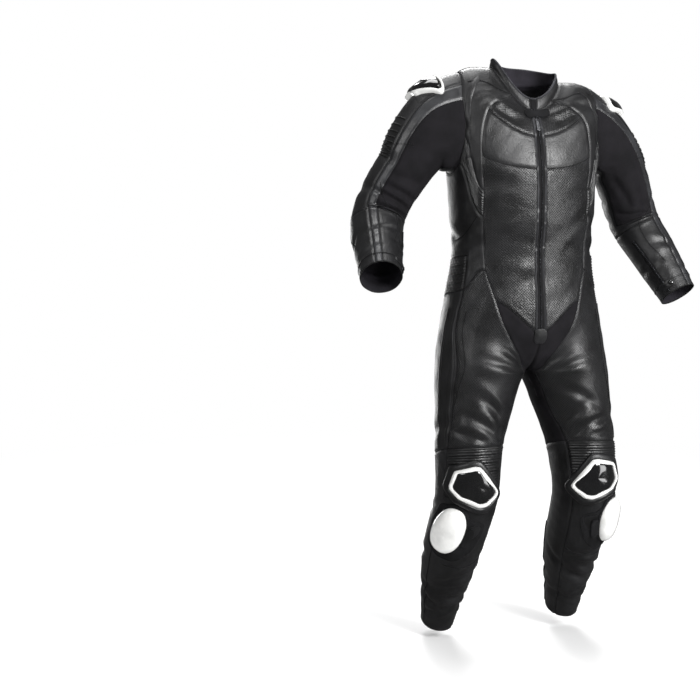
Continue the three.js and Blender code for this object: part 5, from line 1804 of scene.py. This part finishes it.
# Tabs: the crotch tab and the collar tab lie on the zip
def makeTabs():
    crotch = bodySpot(1, 0, 592)
    outline = roundOutline(17, 20, 0.7)
    rings = [(0, 3.6), (0.7, 3.4), (0.94, 2.8), (1, 1.6)]
    tab = solidPiece("crotch_flap", domeArrays(crotch, outline, rings, 48), "leather", "leather")
    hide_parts("crotch_tab")
    collar = bodySpot(1, 0, 41)
    corners = [(-30, 6), (-22, 15), (24, 15), (40, 9), (37, -6), (26, -13), (8, -7), (-6, -7), (-20, -14),
               (-29, -6)]
    flap = solidPiece("collar_flap", domeArrays(collar, cornerOutline(corners, 5),
                                                [(0, 5.0), (0.6, 4.8), (0.9, 4.0), (1, 2.2)], 64),
                      "hookLoop", "lining")
    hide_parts("collar_tab")


makeTabs()


# Neck lining: the inside of the collar and the first rows below it, just clear of the leather
def makeNeckLining():
    chosen = np.zeros(len(faces), bool)
    body = ~isSleeve[piece]
    middleRow = gridUV[:, :, 1].mean(axis=1)
    middleColumn = gridUV[:, :, 0].mean(axis=1)
    chosen[body & (middleRow < 1) & (middleColumn > 1)] = True
    used, corners = np.unique(faces[chosen], return_inverse=True)
    corners = corners.reshape(-1, 4)
    outer = points[used] - normals[used] * 2.7 * mm
    uv, area = flatPattern(outer, corners, placeUV[chosen] * [0.5, 0.001])
    mesh = shellMesh("neck_lining_cloth", outer, corners, normals[used], 1.0, uv, np.full(len(used), 20.0))
    lining = addObject("neck_lining_cloth", mesh, ["lining", "lining"], "lining")
    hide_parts("neck_lining")
    float(min(area, 0.0805))


makeNeckLining()


# Zips of the forearms and the ankles: tape, teeth and a small snap tab at the cuff
def makeSideZips():
    tapes, teeth = [], []
    for side in (1, -1):
        tapes.append(laidPath(sleeveAt(side), [(0.12, 366), (0.13, 440), (0.14, 524)]))
        tapes.append(laidPath(bodyAt(side), [(0.93, 1120), (0.93, 1200), (0.93, 1280), (0.93, 1356)]))
    stripPiece("side_zip_tapes", tapes, bandProfile(13, 0.8), "zipTape", "zip_tape")
    lifted = [(line + facing * 1.2 * mm, facing) for line, facing in tapes]
    values = {"Pitch": 3.4 * mm, "Size": [1.8 * mm, 4.2 * mm, 1.6 * mm]}
    grow("side_zip_teeth", *lineOf(lifted), "teeth", values, "zipTeeth", "zip_metal")
    for side, ending in ((1, "_left"), (-1, "_right")):
        spot = sleeveSpot(side, 0.15, 508, 300)
        tab = domeArrays(spot, roundOutline(24, 10, 0.6), [(0, 3.2), (0.8, 3.1), (0.95, 2.6), (1, 1.4)], 40)
        solidPiece("cuff_tab" + ending, tab, "leather", "leather")
        disc = roundOutline(5.5, 5.5, 1)
        snap = domeArrays(shiftedSpot(spot, 12, 0), disc, [(0, 5.2), (0.6, 5.0), (1, 3.6)], 32, 2.5)
        solidPiece("cuff_snap" + ending, snap, "blackPlastic", "zip_metal")


makeSideZips()


def flatSpot(origin, across, upward, outward):
    def spot(x, y, lift):
        x, y, lift = (np.asarray(value, float)[..., None] for value in (x, y, lift))
        return origin + (across * x + upward * y + outward * lift) * mm

    return spot


# Zip pulls keep their solids; sliders sit at their hinges
def makePulls():
    for joint in frame["joints"]:
        name = joint["name"].replace("_swing", "")
        node = frame["nodes"][name]
        node.data.materials.clear()
        node.data.materials.append(materials["zipMetal"])
        hinge = np.array(joint["pos_m"])
        low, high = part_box(name)
        tip = (np.array(low) + np.array(high)) / 2
        upward = unit(hinge - tip)
        across = unit(np.array(joint["axis"]))
        outward = unit(np.cross(across, upward))
        spot = flatSpot(hinge + (upward * 2 - outward * 2.6) * mm, across, upward, outward)
        rings = [(0, 2.0), (0.6, 1.8), (0.9, 1.2), (1, 0.2)]
        body = domeArrays(spot, roundOutline(5, 7.5, 0.7), rings, 28, -1.6)
        solidPiece(name + "_slider", body, "zipMetal", "zip_metal")


makePulls()
print("hump, tabs, lining and small zips made")


# World, floor and lights
def makeStudio():
    world = bpy.data.worlds.new("studio")
    bpy.context.scene.world = world
    world.use_nodes = True
    tree = world.node_tree
    tree.nodes.clear()
    seen = addNode(tree, "ShaderNodeLightPath", {}, {}).outputs["Is Camera Ray"]
    strength = spread(tree, seen, 0.0, 1.0, studio["roomStrength"], studio["backStrength"])
    backdrop = {"Color": linear(studio["backColour"]), "Strength": strength}
    back = addNode(tree, "ShaderNodeBackground", {}, backdrop)
    addNode(tree, "ShaderNodeOutputWorld", {}, {"Surface": back.outputs[0]})
    half = studio["floorHalf"]
    floorDrop = -studio["floorDrop"]
    corners = [(x * half, y * half, floorDrop) for x, y in ((-1, -1), (1, -1), (1, 1), (-1, 1))]
    mesh = newMesh("floor", corners, [(0, 1, 2, 3)])
    mesh.materials.append(materials["floor"])
    floor = bpy.data.objects.new("floor", mesh)
    bpy.context.scene.collection.objects.link(floor)
    floor.visible_glossy = False
    for entry in studio["lights"]:
        data = bpy.data.lights.new(entry["name"], "AREA")
        data.size = entry["size"]
        data.energy = entry["energy"]
        data.use_shadow = entry.get("shadow", True)
        light = bpy.data.objects.new(entry["name"], data)
        light.location = entry["place"]
        light.rotation_mode = "QUATERNION"
        light.rotation_quaternion = (Vector((0, 0, -0.5)) - light.location).to_track_quat("-Z", "Y")
        bpy.context.scene.collection.objects.link(light)
    bpy.context.scene.view_settings.view_transform = "Standard"


makeStudio()
